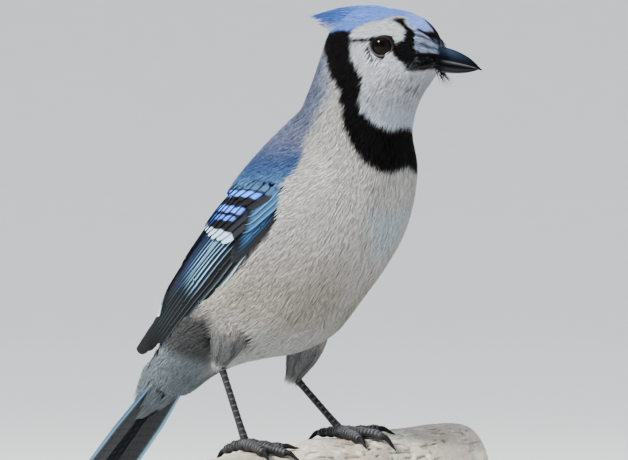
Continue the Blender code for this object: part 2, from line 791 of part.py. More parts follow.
def walk(foot, heading, distance, lift):
    """A point above the branch, this far from the foot along a heading."""
    along, front, _ = perch_frame()
    flat = unit(along[:2])
    start = np.array(foot)
    way = np.array([math.cos(heading), math.sin(heading)])
    a = start @ flat + way @ flat * distance
    arc = start @ front[:2] + way @ front[:2] * distance
    return perch_point(a, perch_angle(arc), lift)


def toe(word, n, start, ball, materials, collection):
    """One toe with its swollen pads, and its claw, short of it by the gap."""
    skin, horn = materials
    heading, length, claw_length = TOES[n]
    heading = math.radians(heading)
    points, radii = [ball], [TOE_RADII[0] * 1.2]
    for i in range(1, 7):
        u = i / 6
        radius = TOE_RADII[0] + (TOE_RADII[1] - TOE_RADII[0]) * u
        points.append(walk(start, heading, length * u, radius * (1 + PAD_SWELL) + 1.5 * GAP))
        radii.append(radius * (1 + PAD_SWELL * (i % 2)))
    flesh = tube(f"toe_{word}_{n + 1}", points, radii, skin, collection)
    nail, nail_radii = [], []
    for i in range(5):
        u = i / 4
        arch = CLAW_ARCH * math.sin(math.pi * min(u * 1.15, 1.0)) * (1 - u)
        height = (TOE_RADII[1] + 1.3 * GAP + arch) * (1 - u) + 1.8 * GAP * u
        nail.append(walk(start, heading, length + 3 * GAP + 0.82 * claw_length * u, height))
        nail_radii.append((CLAW_RADIUS - CLAW_TIP_RADIUS) * (1 - u) ** 0.8 + CLAW_TIP_RADIUS)
    tube(f"claw_{word}_{n + 1}", nail, nail_radii, horn, collection, 1)
    return flesh


def leg(k, word, coat, materials, collection, helpers):
    """Foot, tarsus and feathered thigh of one side, each short of the next by the gap."""
    start, heel, hip = FEET[k], np.array(HEELS[k]), np.array(HIPS[k])
    ball = walk(start, 0.0, 0.0, BALL_HEIGHT)
    down = unit(ball - heel)
    foot, *others = [toe(word, n, start, ball, materials, collection) for n in range(len(TOES))]
    stub = [ball, ball - down * ANKLE_STUB]
    others.append(tube("stub", stub, (TARSUS_RADII[-1] + 0.2, TARSUS_RADII[-1]), materials[0], collection))
    combine(foot, others, "UNION")
    foot.name = f"foot_{word}"
    top, bottom = heel + down * HEEL_ROOM, ball - down * (ANKLE_STUB + GAP)
    shin = [top + (bottom - top) * u for u in TARSUS_AT]
    tube(f"tarsus_{word}", shin, TARSUS_RADII, materials[0], collection)
    line = [hip + (heel - hip) * u for u in THIGH_AT] + [top - down * GAP]
    thigh = tube(f"thigh_{word}", line, THIGH_RADII, coat, collection, 4)
    rings = [body_ring(NECK_CUT * i / 19, 28, GAP) for i in range(20)]
    combine(thigh, [loft("body_room", rings, coat, helpers)], "DIFFERENCE")


# Stand


def rod(name, n, grow, material, collection):
    """An upright rod from inside the base to inside the branch."""
    along, _, up = perch_frame()
    middle = along * (n - 1.5) * ROD_SPACING - up * PERCH_HALF_HEIGHT
    low = -FLOOR_DROP + BASE_SIZE[2] - ROD_SOCKET - grow
    high = middle[2] - PERCH_HALF_HEIGHT + ROD_SOCKET + grow
    bpy.ops.mesh.primitive_cylinder_add(
        vertices=24,
        radius=(ROD_RADIUS + grow) * MM,
        depth=(high - low) * MM,
        location=to_part((middle[0], middle[1], (high + low) / 2)),
    )
    made = bpy.context.object
    made.name = name
    made.data.materials.append(material)
    return move_to(made, collection)


def base(material, collection):
    """A flat board with rounded corners."""
    board = box("stand_base", (*BASE_CENTRE, -FLOOR_DROP + BASE_SIZE[2] / 2), BASE_SIZE, material)
    shape = bmesh.new()
    shape.from_mesh(board.data)
    upright = [e for e in shape.edges if abs(e.verts[0].co.z - e.verts[1].co.z) > MM]
    bmesh.ops.bevel(shape, geom=upright, offset=BASE_CORNER * MM, segments=6, affect="EDGES", profile=0.5)
    shape.to_mesh(board.data)
    shape.free()
    return move_to(board, collection)


def build():
    clear_scene()
    random.seed(SEED)
    parts = new_collection("blue_jay")
    helpers = new_collection("cutters", hidden=True)
    grey = shade((0.55, 0.55, 0.56), 0.85, name="body_feathers")
    white = shade((0.8, 0.8, 0.8), 0.85, name="face_feathers")
    blue = shade((0.1, 0.2, 0.5), 0.6, name="flight_feathers")
    horn = shade((0.03, 0.03, 0.035), 0.35, name="horn")
    scaly = shade((0.05, 0.05, 0.055), 0.5, name="leg_skin")
    glossy = shade((0.01, 0.008, 0.006), 0.05, name="eye")
    wood = shade((0.09, 0.05, 0.03), 0.4, name="stained_wood")
    barkish = shade((0.45, 0.42, 0.36), 0.9, name="bark")
    steel = shade((0.3, 0.3, 0.31), 0.3, 1.0, name="rod_steel")

    torso = body_piece("torso", TAIL_CUT, NECK_CUT, 16, 26, grey, parts, (False, True))
    body_piece("neck", NECK_CUT, HEAD_CUT, 6, 26, white, parts, (True, True))
    head = body_piece("head", HEAD_CUT, len(SECTIONS) - 1, 16, 24, white, parts, (True, False))
    for side, word in SIDES:
        wing(f"wing_{word}", side, blue, parts)
        combine(torso, [wing_pocket(side, blue, helpers)], "DIFFERENCE")
    tail(blue, parts)
    bill_half("bill_lower", False, horn, parts)
    bill = bill_half("bill_upper", True, horn, parts)
    for side, _ in SIDES:
        place = on_head(NOSTRIL[0], side * NOSTRIL[1], NOSTRIL[2])
        combine(bill, [sphere("nostril", place, NOSTRIL_RADIUS, horn, helpers)], "DIFFERENCE")
    dress_head(head, white, parts)
    for k, (side, word) in enumerate(SIDES):
        sphere(f"eye_{word}", eye_place(side), EYE_RADIUS, glossy, parts)
        leg(k, word, grey, (scaly, horn), parts, helpers)

    branch, board = perch(barkish, parts), base(wood, parts)
    for n in (1, 2):
        rod(f"stand_rod_{n}", n, 0.0, steel, parts)
        for holder in (branch, board):
            combine(holder, [rod("drill", n, GAP, steel, helpers)], "DIFFERENCE")


build()
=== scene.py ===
import math

import bpy
import numpy as np
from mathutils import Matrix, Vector
from mathutils.kdtree import KDTree


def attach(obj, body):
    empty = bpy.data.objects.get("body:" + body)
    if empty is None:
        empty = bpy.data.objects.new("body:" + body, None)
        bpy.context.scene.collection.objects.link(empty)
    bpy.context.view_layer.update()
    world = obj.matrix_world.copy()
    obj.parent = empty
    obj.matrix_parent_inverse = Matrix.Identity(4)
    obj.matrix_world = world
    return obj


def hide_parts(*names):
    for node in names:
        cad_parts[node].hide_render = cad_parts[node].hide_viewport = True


# A perched blue jay, life size. Shapes are worked out in millimetres in the bird's own frame
# (it faces +X, its left is +Y, zero is on the branch between its feet) and become metres in
# the row's frame where a mesh is made.

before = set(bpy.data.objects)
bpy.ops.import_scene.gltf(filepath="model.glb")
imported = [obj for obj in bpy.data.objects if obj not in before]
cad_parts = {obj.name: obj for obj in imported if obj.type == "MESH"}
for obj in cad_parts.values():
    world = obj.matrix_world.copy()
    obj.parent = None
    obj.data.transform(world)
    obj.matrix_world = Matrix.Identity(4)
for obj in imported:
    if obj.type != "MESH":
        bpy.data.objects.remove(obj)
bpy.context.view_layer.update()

mm = 0.001
birdOrigin = np.array([8.0, 0.0, 76.0])
floorDrop = 76.0
rng = np.random.default_rng(23)
sides = (("right", -1), ("left", 1))

# The photo's view, which also places the markings: a pixel's size and the pixel of the origin
pixelSize = 0.415
pixelOfOrigin = (295.0, 445.0)
viewTurn = math.radians(40.0)
viewRight = np.array([math.cos(viewTurn), math.sin(viewTurn), 0.0])
viewBack = np.array([math.sin(viewTurn), -math.cos(viewTurn), 0.0])


# Numbers and colours


def linear(hexColour):
    parts = [int(hexColour[i:i + 2], 16) / 255 for i in (1, 3, 5)]
    return np.array([c / 12.92 if c <= 0.04045 else ((c + 0.055) / 1.055) ** 2.4 for c in parts])


def blendTo(colour, other, share):
    return colour + (other - colour) * np.asarray(share)[..., None]


def ramp(value, start, end):
    x = np.clip((value - start) / (end - start), 0.0, 1.0)
    return x * x * (3 - 2 * x)


def smoothTable(at, values, where):
    # a smooth curve through a short table
    at, values = np.asarray(at, float), np.asarray(values, float)
    where = np.clip(where, at[0], at[-1])
    slopes = np.gradient(values, at, axis=0)
    i = np.clip(np.searchsorted(at, where, side="right") - 1, 0, len(at) - 2)
    span = at[i + 1] - at[i]
    u = (where - at[i]) / span
    if values.ndim > 1:
        u, span = u[..., None], span[..., None]
    start = (1 + 2 * u) * (1 - u) ** 2 * values[i] + u * (1 - u) ** 2 * span * slopes[i]
    end = u * u * (3 - 2 * u) * values[i + 1] + u * u * (u - 1) * span * slopes[i + 1]
    return start + end


def rounded(angle, squareness):
    c, s = np.cos(angle), np.sin(angle)
    power = 2.0 / squareness
    return np.sign(c) * np.abs(c) ** power, np.sign(s) * np.abs(s) ** power


def unit(vector):
    return vector / np.maximum(np.linalg.norm(vector, axis=-1, keepdims=True), 1e-9)


def hashNoise(cells, seed):
    # a repeatable random number from 0 to 1 for each whole-number cell
    n = cells.astype(np.int64)
    h = n[..., 0] * 374761393 + n[..., 1] * 668265263 + n[..., 2] * 2147483647 + seed * 974634777
    h = (h ^ (h >> 13)) * 1274126177
    return ((h ^ (h >> 16)) & 0xFFFFFF) / 0xFFFFFF


def noise(points, size, seed=0):
    # smooth noise from -1 to 1 with lumps about this many millimetres across
    p = np.asarray(points) / size
    base = np.floor(p)
    f = p - base
    f = f * f * (3 - 2 * f)
    total = 0.0
    for corner in range(8):
        step = np.array([corner & 1, corner >> 1 & 1, corner >> 2 & 1])
        weight = np.prod(np.where(step, f, 1 - f), axis=-1)
        total = total + weight * hashNoise(base + step, seed)
    return total * 2 - 1


def photoPlace(points):
    # where the photo shows these points, in pixels
    x = pixelOfOrigin[0] + points @ viewRight / pixelSize
    return np.stack([x, pixelOfOrigin[1] - points[..., 2] / pixelSize], axis=-1)


def insideOf(outline, places, soft):
    # how far places lie inside a closed outline, from 0 outside to 1, over a soft edge
    outline = np.asarray(outline, float)
    x, y = places[..., 0], places[..., 1]
    inside = np.zeros(x.shape, bool)
    nearest = np.full(x.shape, 1e9)
    for a, b in zip(outline, np.roll(outline, -1, axis=0)):
        crosses = (a[1] > y) != (b[1] > y)
        rise = b[1] - a[1] if abs(b[1] - a[1]) > 1e-9 else 1e-9
        inside ^= crosses & (x < (b[0] - a[0]) * (y - a[1]) / rise + a[0])
        run = b - a
        u = np.clip(((x - a[0]) * run[0] + (y - a[1]) * run[1]) / (run @ run), 0, 1)
        nearest = np.minimum(nearest, np.hypot(x - a[0] - run[0] * u, y - a[1] - run[1] * u))
    return ramp(np.where(inside, nearest, -nearest), -soft, soft)


# The bird's surfaces, as in the solids


headAxisX = 45.0
squareness = 2.25
# Sections from the tail's coverts to the bill: back (x, z), underside (x, z), half width, turn
bodyRows = np.array((
    (-88.6, 11.5, -85.4, 8.4, 7.0, 0.0), (-82.6, 22.4, -74.8, 14.9, 9.6, 0.0),
    (-78.0, 31.8, -65.6, 19.9, 12.2, 0.0), (-70.0, 46.0, -62.0, 20.0, 14.0, 0.0),
    (-64.0, 57.0, -50.0, 27.5, 19.0, 0.0), (-57.0, 67.0, -36.0, 32.5, 23.5, 0.0),
    (-49.0, 77.0, -20.0, 35.5, 27.5, 0.0), (-41.0, 87.0, -3.5, 38.0, 29.5, 0.0),
    (-34.0, 97.0, 12.5, 44.5, 30.5, 0.0), (-27.0, 106.5, 26.0, 57.5, 30.5, 0.0),
    (-18.5, 115.5, 39.3, 71.5, 30.0, 0.0), (-8.8, 124.0, 50.0, 86.0, 28.5, 0.0),
    (2.0, 131.8, 56.0, 100.5, 26.3, 2.0), (11.0, 138.8, 58.8, 114.0, 23.5, 7.0),
    (15.4, 146.2, 57.5, 127.0, 21.0, 13.0), (18.6, 153.6, 59.5, 137.0, 19.3, 19.0),
    (21.2, 161.2, 62.8, 144.2, 17.6, 24.0), (24.0, 169.2, 65.4, 148.0, 16.6, 26.0),
    (28.5, 176.4, 66.9, 150.2, 16.0, 26.0), (36.0, 180.6, 68.3, 152.0, 15.4, 26.0),
    (46.0, 180.9, 69.4, 153.3, 14.6, 26.0), (56.0, 179.5, 70.3, 154.2, 13.2, 26.0),
    (63.5, 176.5, 71.0, 154.8, 11.2, 26.0), (68.5, 171.9, 71.4, 155.2, 8.8, 26.0),
    (70.8, 167.0, 71.6, 155.6, 6.4, 26.0),
))
bodyEnd = len(bodyRows) - 1
headTurn = math.radians(26.0)


def turned(x, z, turn, out=0.0):
    # a point of the plane of symmetry, turned about the head's upright axis
    reach = x - headAxisX
    return np.stack([
        headAxisX + reach * np.cos(turn) - out * np.sin(turn),
        reach * np.sin(turn) + out * np.cos(turn),
        z + 0.0 * reach,
    ], axis=-1)


def bodyAt(t, angle, lift=0.0):
    # a point of the body: section number, angle round it from the back, height above it
    t, angle, lift = np.broadcast_arrays(np.asarray(t, float), angle, lift)
    row = smoothTable(np.arange(bodyEnd + 1), bodyRows, t)
    turn = np.radians(row[..., 5])
    back = turned(row[..., 0], row[..., 1], turn)
    under = turned(row[..., 2], row[..., 3], turn)
    tall = np.linalg.norm(back - under, axis=-1) / 2
    up = unit(back - under)
    left = np.stack([-np.sin(turn), np.cos(turn), 0 * turn], axis=-1)
    c, s = rounded(angle, squareness)
    middle = (back + under) / 2
    return middle + up * (c * (tall + lift))[..., None] + left * (s * (row[..., 4] + lift))[..., None]


wrist = np.array([28.9, 110.0])
wingTip = np.array([-78.0, 39.0])
archAt = (-20.0, 0.0, 12.0, 26.0, 42.0, 56.0, 70.0, 85.0, 107.0, 129.0, 140.0)
archRise = (35.6, 35.0, 34.0, 32.4, 29.0, 25.0, 21.0, 17.0, 11.2, 7.4, 6.0)
archHalfWidth = (23.0, 28.0, 30.0, 31.2, 31.8, 31.2, 29.2, 26.0, 19.4, 12.6, 9.6)
archDrop = (22.0, 26.0, 28.0, 30.0, 31.0, 31.0, 29.0, 26.0, 20.0, 14.0, 11.0)
wingAlong = (wingTip - wrist) / np.linalg.norm(wingTip - wrist)
wingRise = np.array([wingAlong[1], -wingAlong[0]])
edgeAt = (0.0, 12.0, 27.0, 45.0, 66.0, 84.0, 100.0, 117.0, 129.0)
lowerEdge = (-2.0, -10.0, -16.5, -24.0, -30.0, -31.0, -32.0, -34.0, -34.0)
upperEdge = (22.0, 34.0, 43.0, 66.0, 89.0, 90.0, 90.0, 56.0, 16.0)


def archAtPoint(s, angle, side, lift=0.0):
    # a point over the folded wing: distance from the wrist, degrees up from its line
    s, angle, lift = np.broadcast_arrays(np.asarray(s, float), angle, lift)
    rise, drop = smoothTable(archAt, archRise, s), smoothTable(archAt, archDrop, s)
    height = np.where(angle > 0, rise, drop) + lift
    width = smoothTable(archAt, archHalfWidth, s) + lift
    a = np.radians(angle)
    flat = wrist + s[..., None] * wingAlong + wingRise * (height * np.sin(a))[..., None]
    return np.stack([flat[..., 0], side * width * np.cos(a), flat[..., 1]], axis=-1)


def archPlace(points):
    # the distance and angle over the wing's arch nearest to these points
    flat = points[..., (0, 2)] - wrist
    s = flat @ wingAlong
    up = flat @ wingRise
    height = np.where(up > 0, smoothTable(archAt, archRise, s), smoothTable(archAt, archDrop, s))
    width = smoothTable(archAt, archHalfWidth, s)
    return s, np.degrees(np.arctan2(up / height, np.abs(points[..., 1]) / width))


def underWing(points, margin):
    # how many millimetres inside the wing's outline these points lie, less the margin
    s, angle = archPlace(points)
    degree = np.radians(1.0) * smoothTable(archAt, archHalfWidth, s)
    low = smoothTable(edgeAt, lowerEdge, s)
    high = smoothTable(edgeAt, upperEdge, s)
    inside = np.minimum(np.minimum((angle - low) * degree, (high - angle) * degree), s - 2.0)
    return np.minimum(inside, 124.0 - s) - margin


tailRoot = np.array([-35.7, 63.3])
tailEnd = np.array([-122.6, -27.0])
tailAlong = (tailEnd - tailRoot) / np.linalg.norm(tailEnd - tailRoot)
tailRise = np.array([tailAlong[1], -tailAlong[0]])


def tailAt(s, across, lift):
    s, across, lift = np.broadcast_arrays(np.asarray(s, float), across, lift)
    flat = tailRoot + s[..., None] * tailAlong + lift[..., None] * tailRise
    return np.stack([flat[..., 0], across, flat[..., 1]], axis=-1)


crestAhead = (12.0, -28.3)
crestAt = (0.0, 0.3, 0.55, 0.8, 1.0)
crestTop = (178.2, 181.0, 180.9, 179.2, 176.7)
crestMiddle = (170.0, 170.5, 172.0, 173.8, 175.5)
crestHalfWidth = (9.0, 11.0, 9.5, 6.0, 2.6)


def onHead(ahead, left, up):
    return turned(headAxisX + np.asarray(ahead, float), up, headTurn, left)


def crestAtPoint(u, angle, lift=0.0):
    u, angle, lift = np.broadcast_arrays(np.asarray(u, float), angle, lift)
    top, middle, wide = (smoothTable(crestAt, t, u) for t in (crestTop, crestMiddle, crestHalfWidth))
    ahead = crestAhead[0] + (crestAhead[1] - crestAhead[0]) * u
    return onHead(ahead, (wide + lift) * np.sin(angle), middle + (top - middle + lift) * np.cos(angle))


hips = np.array(((-12.0, -20.0, 60.0), (-0.5, 20.0, 60.0)))
heels = np.array(((-21.9, -22.3, 34.5), (-13.8, 15.5, 28.5)))
feet = np.array(((-9.0, -20.3), (9.0, 20.3)))
thighAt = (0.0, 0.3, 0.55, 0.8, 1.0, 1.15)
thighRadii = (3.0, 6.5, 7.2, 5.8, 3.3, 2.2)


def thighAtPoint(k, u, angle, lift=0.0):
    # a point on a feathered thigh: share of the way from hip to heel, angle round it
    u, angle, lift = np.broadcast_arrays(np.asarray(u, float), angle, lift)
    line = heels[k] - hips[k]
    side = unit(np.cross(line, (1.0, 0.0, 0.0)))
    front = unit(np.cross(side, line))
    radius = smoothTable(thighAt, thighRadii, u) + lift
    ring = np.cos(angle)[..., None] * front + np.sin(angle)[..., None] * side
    return hips[k] + line * u[..., None] + ring * radius[..., None]


# Materials


def newMaterial(name, finish=None):
    # a material of one shader, with the shader's own fixed values
    material = bpy.data.materials.new(name)
    material.use_nodes = True
    material.node_tree.nodes.clear()
    output = addNode(material, "ShaderNodeOutputMaterial")
    shader = addNode(material, "ShaderNodeBsdfPrincipled", finish)
    material.node_tree.links.new(shader.outputs["BSDF"], output.inputs["Surface"])
    return material, shader


def addNode(material, kind, settings=None):
    # adds a node with its settings and fixed values
    node = material.node_tree.nodes.new(kind)
    for name, value in (settings or {}).items():
        if hasattr(node, name):
            setattr(node, name, value)
        else:
            node.inputs[name].default_value = value
    return node


def put(material, socket, node, name):
    material.node_tree.links.new(socket, node.inputs[name])


def mixColours(material, factor, first, second, mode="MIX"):
    node = addNode(material, "ShaderNodeMix", {"data_type": "RGBA", "blend_type": mode})
    for socket, value in ((node.inputs[0], factor), (node.inputs[6], first), (node.inputs[7], second)):
        if isinstance(value, bpy.types.NodeSocket):
            material.node_tree.links.new(value, socket)
        elif isinstance(value, (int, float)):
            socket.default_value = value
        else:
            socket.default_value = (*value, 1.0)
    return node.outputs[2]


def curve(material, value, low, high, toLow=0.0, toHigh=1.0):
    node = addNode(material, "ShaderNodeMapRange", {
        "From Min": low, "From Max": high, "To Min": toLow, "To Max": toHigh,
    })
    put(material, value, node, "Value")
    return node.outputs["Result"]


def textured(material, kind, size, **settings):
    # a noise or voronoi pattern in the piece's own coordinates, sized in millimetres
    place = addNode(material, "ShaderNodeTexCoord")
    stretch = settings.pop("stretch", (1.0, 1.0, 1.0))
    mapping = addNode(material, "ShaderNodeMapping")
    mapping.inputs["Scale"].default_value = tuple(s / (size * mm) for s in stretch)
    put(material, place.outputs["Object"], mapping, "Vector")
    node = addNode(material, kind, {"Scale": 1.0, **settings})
    put(material, mapping.outputs["Vector"], node, "Vector")
    return node


def tinted(material, pattern, low, high, darkest, palest):
    # the mesh's own colours, made darker and paler by a pattern
    tint = addNode(material, "ShaderNodeAttribute", {"attribute_name": "tint"})
    shade = curve(material, pattern, low, high, darkest, palest)
    return mixColours(material, 1.0, tint.outputs["Color"], shade, "MULTIPLY")


def bumped(material, shader, height, distance, strength=1.0):
    bump = addNode(material, "ShaderNodeBump", {"Strength": strength, "Distance": distance * mm})
    put(material, height, bump, "Height")
    put(material, bump.outputs["Normal"], shader, "Normal")


def plumageMaterial(name, roughness, barbs):
    # feathers: loose downy barbs scatter the light, so the markings look soft and without shine,
    # and the hooked barbs of a vane lie in fine rows that give it a faint ripple
    material, shader = newMaterial(name, {"Roughness": roughness, "Specular IOR Level": 0.06})
    fine = textured(material, "ShaderNodeTexNoise", 0.5, Detail=3.0)
    put(material, tinted(material, fine.outputs["Fac"], 0.3, 0.7, 0.86, 1.1), shader, "Base Color")
    if barbs:
        lie = addNode(material, "ShaderNodeAttribute", {"attribute_name": "barb"})
        wave = addNode(material, "ShaderNodeTexWave", {
            "wave_type": "BANDS", "bands_direction": "X", "Scale": 0.55, "Distortion": 0.6, "Detail": 1.0,
        })
        put(material, lie.outputs["Vector"], wave, "Vector")
        bumped(material, shader, wave.outputs["Fac"], 0.12, 0.6)
    return material


# Meshes


def toRow(points):
    return (np.asarray(points, float) + birdOrigin) * mm


def paint(mesh, tint):
    layer = mesh.color_attributes.new("tint", "FLOAT_COLOR", "POINT")
    full = np.ones((len(tint), 4), np.float32)
    full[:, :3] = np.clip(tint, 0.0, 1.0)
    layer.data.foreach_set("color", full.ravel())


def meshObject(name, points, faces, material, tint=None, flat=None, barbs=None, crease=None):
    # a mesh from arrays; faces all have the same number of corners
    points, faces = np.asarray(points, float), np.asarray(faces, np.int64)
    corners = faces.shape[1]
    mesh = bpy.data.meshes.new(name)
    mesh.vertices.add(len(points))
    mesh.vertices.foreach_set("co", toRow(points).astype(np.float32).ravel())
    mesh.loops.add(faces.size)
    mesh.loops.foreach_set("vertex_index", faces.ravel().astype(np.int32))
    mesh.polygons.add(len(faces))
    mesh.polygons.foreach_set("loop_start", np.arange(0, faces.size, corners, dtype=np.int32))
    mesh.update(calc_edges=True)
    if tint is not None:
        paint(mesh, tint)
    if barbs is not None:
        layer = mesh.attributes.new("barb", "FLOAT_VECTOR", "POINT")
        layer.data.foreach_set("vector", np.asarray(barbs, np.float32).ravel())
    if flat is not None:
        layer = mesh.uv_layers.new(name="OFBake")
        layer.data.foreach_set("uv", np.asarray(flat, np.float32)[faces.ravel()].ravel())
    mesh.materials.append(material)
    mesh.shade_smooth()
    if crease is not None:
        mesh.set_sharp_from_angle(angle=math.radians(crease))
    thing = bpy.data.objects.new(name, mesh)
    bpy.context.scene.collection.objects.link(thing)
    return thing


def volumeOf(points, faces):
    a, b, c = (points[faces[:, i]] for i in (0, 1, 2))
    total = np.einsum("ij,ij->i", a, np.cross(b, c)).sum()
    if faces.shape[1] == 4:
        d = points[faces[:, 3]]
        total += np.einsum("ij,ij->i", a, np.cross(c, d)).sum()
    return total


def ringGrid(rows, count):
    # quads between closed rings of this many points
    i, j = np.meshgrid(np.arange(rows - 1), np.arange(count), indexing="ij")
    k = (j + 1) % count
    quads = np.stack([i * count + j, i * count + k, (i + 1) * count + k, (i + 1) * count + j], -1)
    return quads.reshape(-1, 4)


def joined(meshes):
    # the points and faces of several meshes, each mesh a pair of them, as one
    starts = np.cumsum([0] + [len(points) for points, _ in meshes[:-1]])
    faces = np.concatenate([faces + start for (_, faces), start in zip(meshes, starts)])
    return np.concatenate([points for points, _ in meshes]), faces


def ringMesh(rings):
    # points and triangles of a closed skin through rings, with a hub at each end
    rows, count = rings.shape[:2]
    points = np.concatenate([rings.reshape(-1, 3), [rings[0].mean(0), rings[-1].mean(0)]])
    quads = ringGrid(rows, count)
    faces = np.concatenate([quads[:, [0, 1, 2]], quads[:, [0, 2, 3]]])
    j = np.arange(count)
    k = (j + 1) % count
    first = np.stack([k, j, np.full(count, rows * count)], -1)
    last = np.stack([j + (rows - 1) * count, k + (rows - 1) * count, np.full(count, rows * count + 1)], -1)
    faces = np.concatenate([faces, first, last])
    if volumeOf(points, faces) < 0:
        faces = faces[:, ::-1]
    return points, faces


class Pile:
    # gathers many small meshes of one material into one piece
    def __init__(self):
        self.points, self.faces, self.tints, self.flats, self.barbs = [], [], [], [], []
        self.size = 0

    def add(self, points, faces, tint, flat, barb):
        self.points.append(points)
        self.faces.append(faces + self.size)
        self.tints.append(tint)
        self.flats.append(flat)
        self.barbs.append(barb)
        self.size += len(points)

    def make(self, name, material):
        gathered = (self.points, self.faces, self.tints, self.flats, self.barbs)
        points, faces, tints, flats, barbs = (np.concatenate(part) for part in gathered)
        return meshObject(name, points, faces, material, tints, flats, barbs)


# Markings


colours = {name: linear(value) for name, value in {
    # the belly front's bluish white is pale feathers with painted blue-grey shade
    # the flank's grey-brown is its own colour darkened with painted shade
    "breast": "#9c9d9d", "flankShaded": "#8b8984", "belly": "#9da2a5", "whiteWithBlueShade": "#8fa0ae",
    # the undertail's grey is its pale bluish white darkened with painted shade
    # the vent's dark grey is a painted shadow of the wing over pale feathers
    "ventShadow": "#353739", "undertailShaded": "#5f6a71", "mantle": "#565e77", "mantleBlue": "#2d436e",
    "scapular": "#41658f", "nape": "#556781", "face": "#a8aeb6", "throat": "#9aa1ab",
    # the lower throat's blue-grey is painted shade under the head
    "throatLowShade": "#9da8b7", "black": "#060608", "crest": "#5678c3", "crestDark": "#274484",
    "crestEdge": "#8f93ad", "lobe": "#6f8cd2", "thigh": "#66696c", "down": "#6f6f72",
    "royal": "#27489c", "wingBlack": "#0a0b0e", "cyan": "#7fb2d4", "blue": "#2c5ac4",
    "spot": "#4a7ce2", "teal": "#23456a", "white": "#98b2c8", "paleEdge": "#8ea9bb",
    "tailBlue": "#3b72b0",
    "slate": "#1f2329", "nasal": "#8c9cb8",
}.items()}

# Outlines of the markings, and of some painted shade, on the photo's picture of the right side, in its
# pixels. They reach beyond the bird's outline there, to cover what the photo doesn't show.
markings = {
    "browBar": ((403, 25), (412, 33), (424, 33), (434, 33.5), (440, 37), (443, 43), (430, 41), (419, 43),
                (408, 40)),
    "whiteFace": ((346, 35), (351, 30), (357, 31), (368, 26), (380, 22), (396, 21), (404, 32), (420, 38),
                  (450, 52), (455, 75), (440, 90), (440, 128), (409, 128.5), (392, 132), (377.6, 128.5),
                  (368, 121), (360.6, 112.7), (358, 103), (360.6, 94.5), (360.6, 78.8), (349.7, 60.6),
                  (348.5, 48.5)),
    "throat": ((380, 84), (400, 74), (452, 72), (442, 130), (362, 130), (360, 100)),
    "collar": ((331, 24), (325, 30), (323, 48.5), (325, 60.6), (329, 77.6), (339, 94.5), (338, 103),
               (342.4, 112.7), (340, 121), (346, 137), (353, 150), (363, 163.6), (372.7, 172.5), (391, 175),
               (405.5, 170), (414, 160), (445, 150), (445, 122), (409, 128.5), (392, 132), (377.6, 128.5),
               (368, 121), (360.6, 112.7), (358, 103), (360.6, 94.5), (360.6, 78.8), (350.5, 60.6),
               (349.5, 48.5), (349, 38), (352, 30)),
    "eyeLine": ((346, 38.6), (353, 41.2), (366, 40.8), (374, 38), (374, 47), (366.7, 44.6), (353, 45),
                (346, 43.5)),
    "lore": ((389, 23), (396, 19.5), (403, 20), (405, 27), (412, 34), (421, 40), (417, 58), (412, 62),
             (403, 68), (396, 62), (391, 53), (391, 46), (396, 44.5), (401, 42), (403, 33), (396, 24)),
    "gape": ((403, 71), (405, 63), (414, 55), (424, 50), (446, 52), (446, 73), (428, 72), (412, 73.5)),
    "nasal": ((413, 40), (424, 37), (437, 37), (452, 44), (452, 58), (424, 59), (414, 53)),
    "frontBar": ((421, 13), (430, 15), (441, 30), (442, 40), (434, 36), (429, 27), (421, 19)),
    "lobes": ((404, 15), (414, 16), (424, 18), (430, 24), (433, 31), (424, 33), (413, 32), (407, 26)),
    "crown": ((300, 34), (322, 29), (332, 33.5), (348.5, 32.5), (357, 29), (368, 25), (377.6, 22),
              (390, 19.5), (398, 17.5), (404, 19), (420, 20), (440, 32), (440, -20), (290, -20)),
    "nape": ((280, 30), (324, 28), (322, 48), (326, 62), (330, 80), (328, 100), (318, 118), (309, 134),
             (280, 150), (240, 120)),
    "mantle": ((322, 90), (309, 128), (305, 136), (303, 146), (304, 153), (299, 165), (292, 175), (281, 185),
               (268, 200), (235, 215), (180, 300), (150, 352), (138, 372), (100, 415), (40, 400), (60, 250),
               (180, 130), (290, 70)),
    # the pale front of the belly at the outline, with painted blue-grey shade
    "whiteWithBlueShade": ((371, 212), (396, 212), (399, 240), (392, 268), (376, 266), (368, 240)),
    "belly": ((205, 330), (235, 320), (290, 335), (330, 325), (360, 290), (395, 262), (430, 262), (400, 420),
              (220, 420)),
    # painted shadow of the wing over the vent
    "ventShadow": ((160, 318), (208, 316), (216, 340), (210, 368), (170, 372), (150, 352)),
    # the undertail's pale coverts, with painted shade
    "undertailShaded": ((146, 350), (176, 356), (212, 366), (200, 400), (160, 450), (90, 450), (120, 385)),
}
chinPixel = (402.0, 52.0)
fades = {  # where one colour gives way to the next, in the photo's pixels down or across
    "flankShadeDown": (215, 300),
    "flankShadeAcross": (380, 320),
    "mantleDown": (140, 190),
    "coverDown": (130, 172),
    "scapularDown": (165, 188),
    # where the painted shade of the lower throat comes in
    "throatShadeDown": (95, 125),
    "streaksStart": (72, 84),
    "streaksEnd": (124, 96),
}


def flood(name, shape):
    # one of the colours over an array of points of this shape
    return np.broadcast_to(colours[name], (*shape, 3))


def looseEdged(points, pixels):
    # the points' places in the photo, shifted about by some pixels so that no marking ends sharply
    return photoPlace(points) + np.stack([noise(points, 3.0, 4), noise(points, 3.0, 5)], -1) * pixels


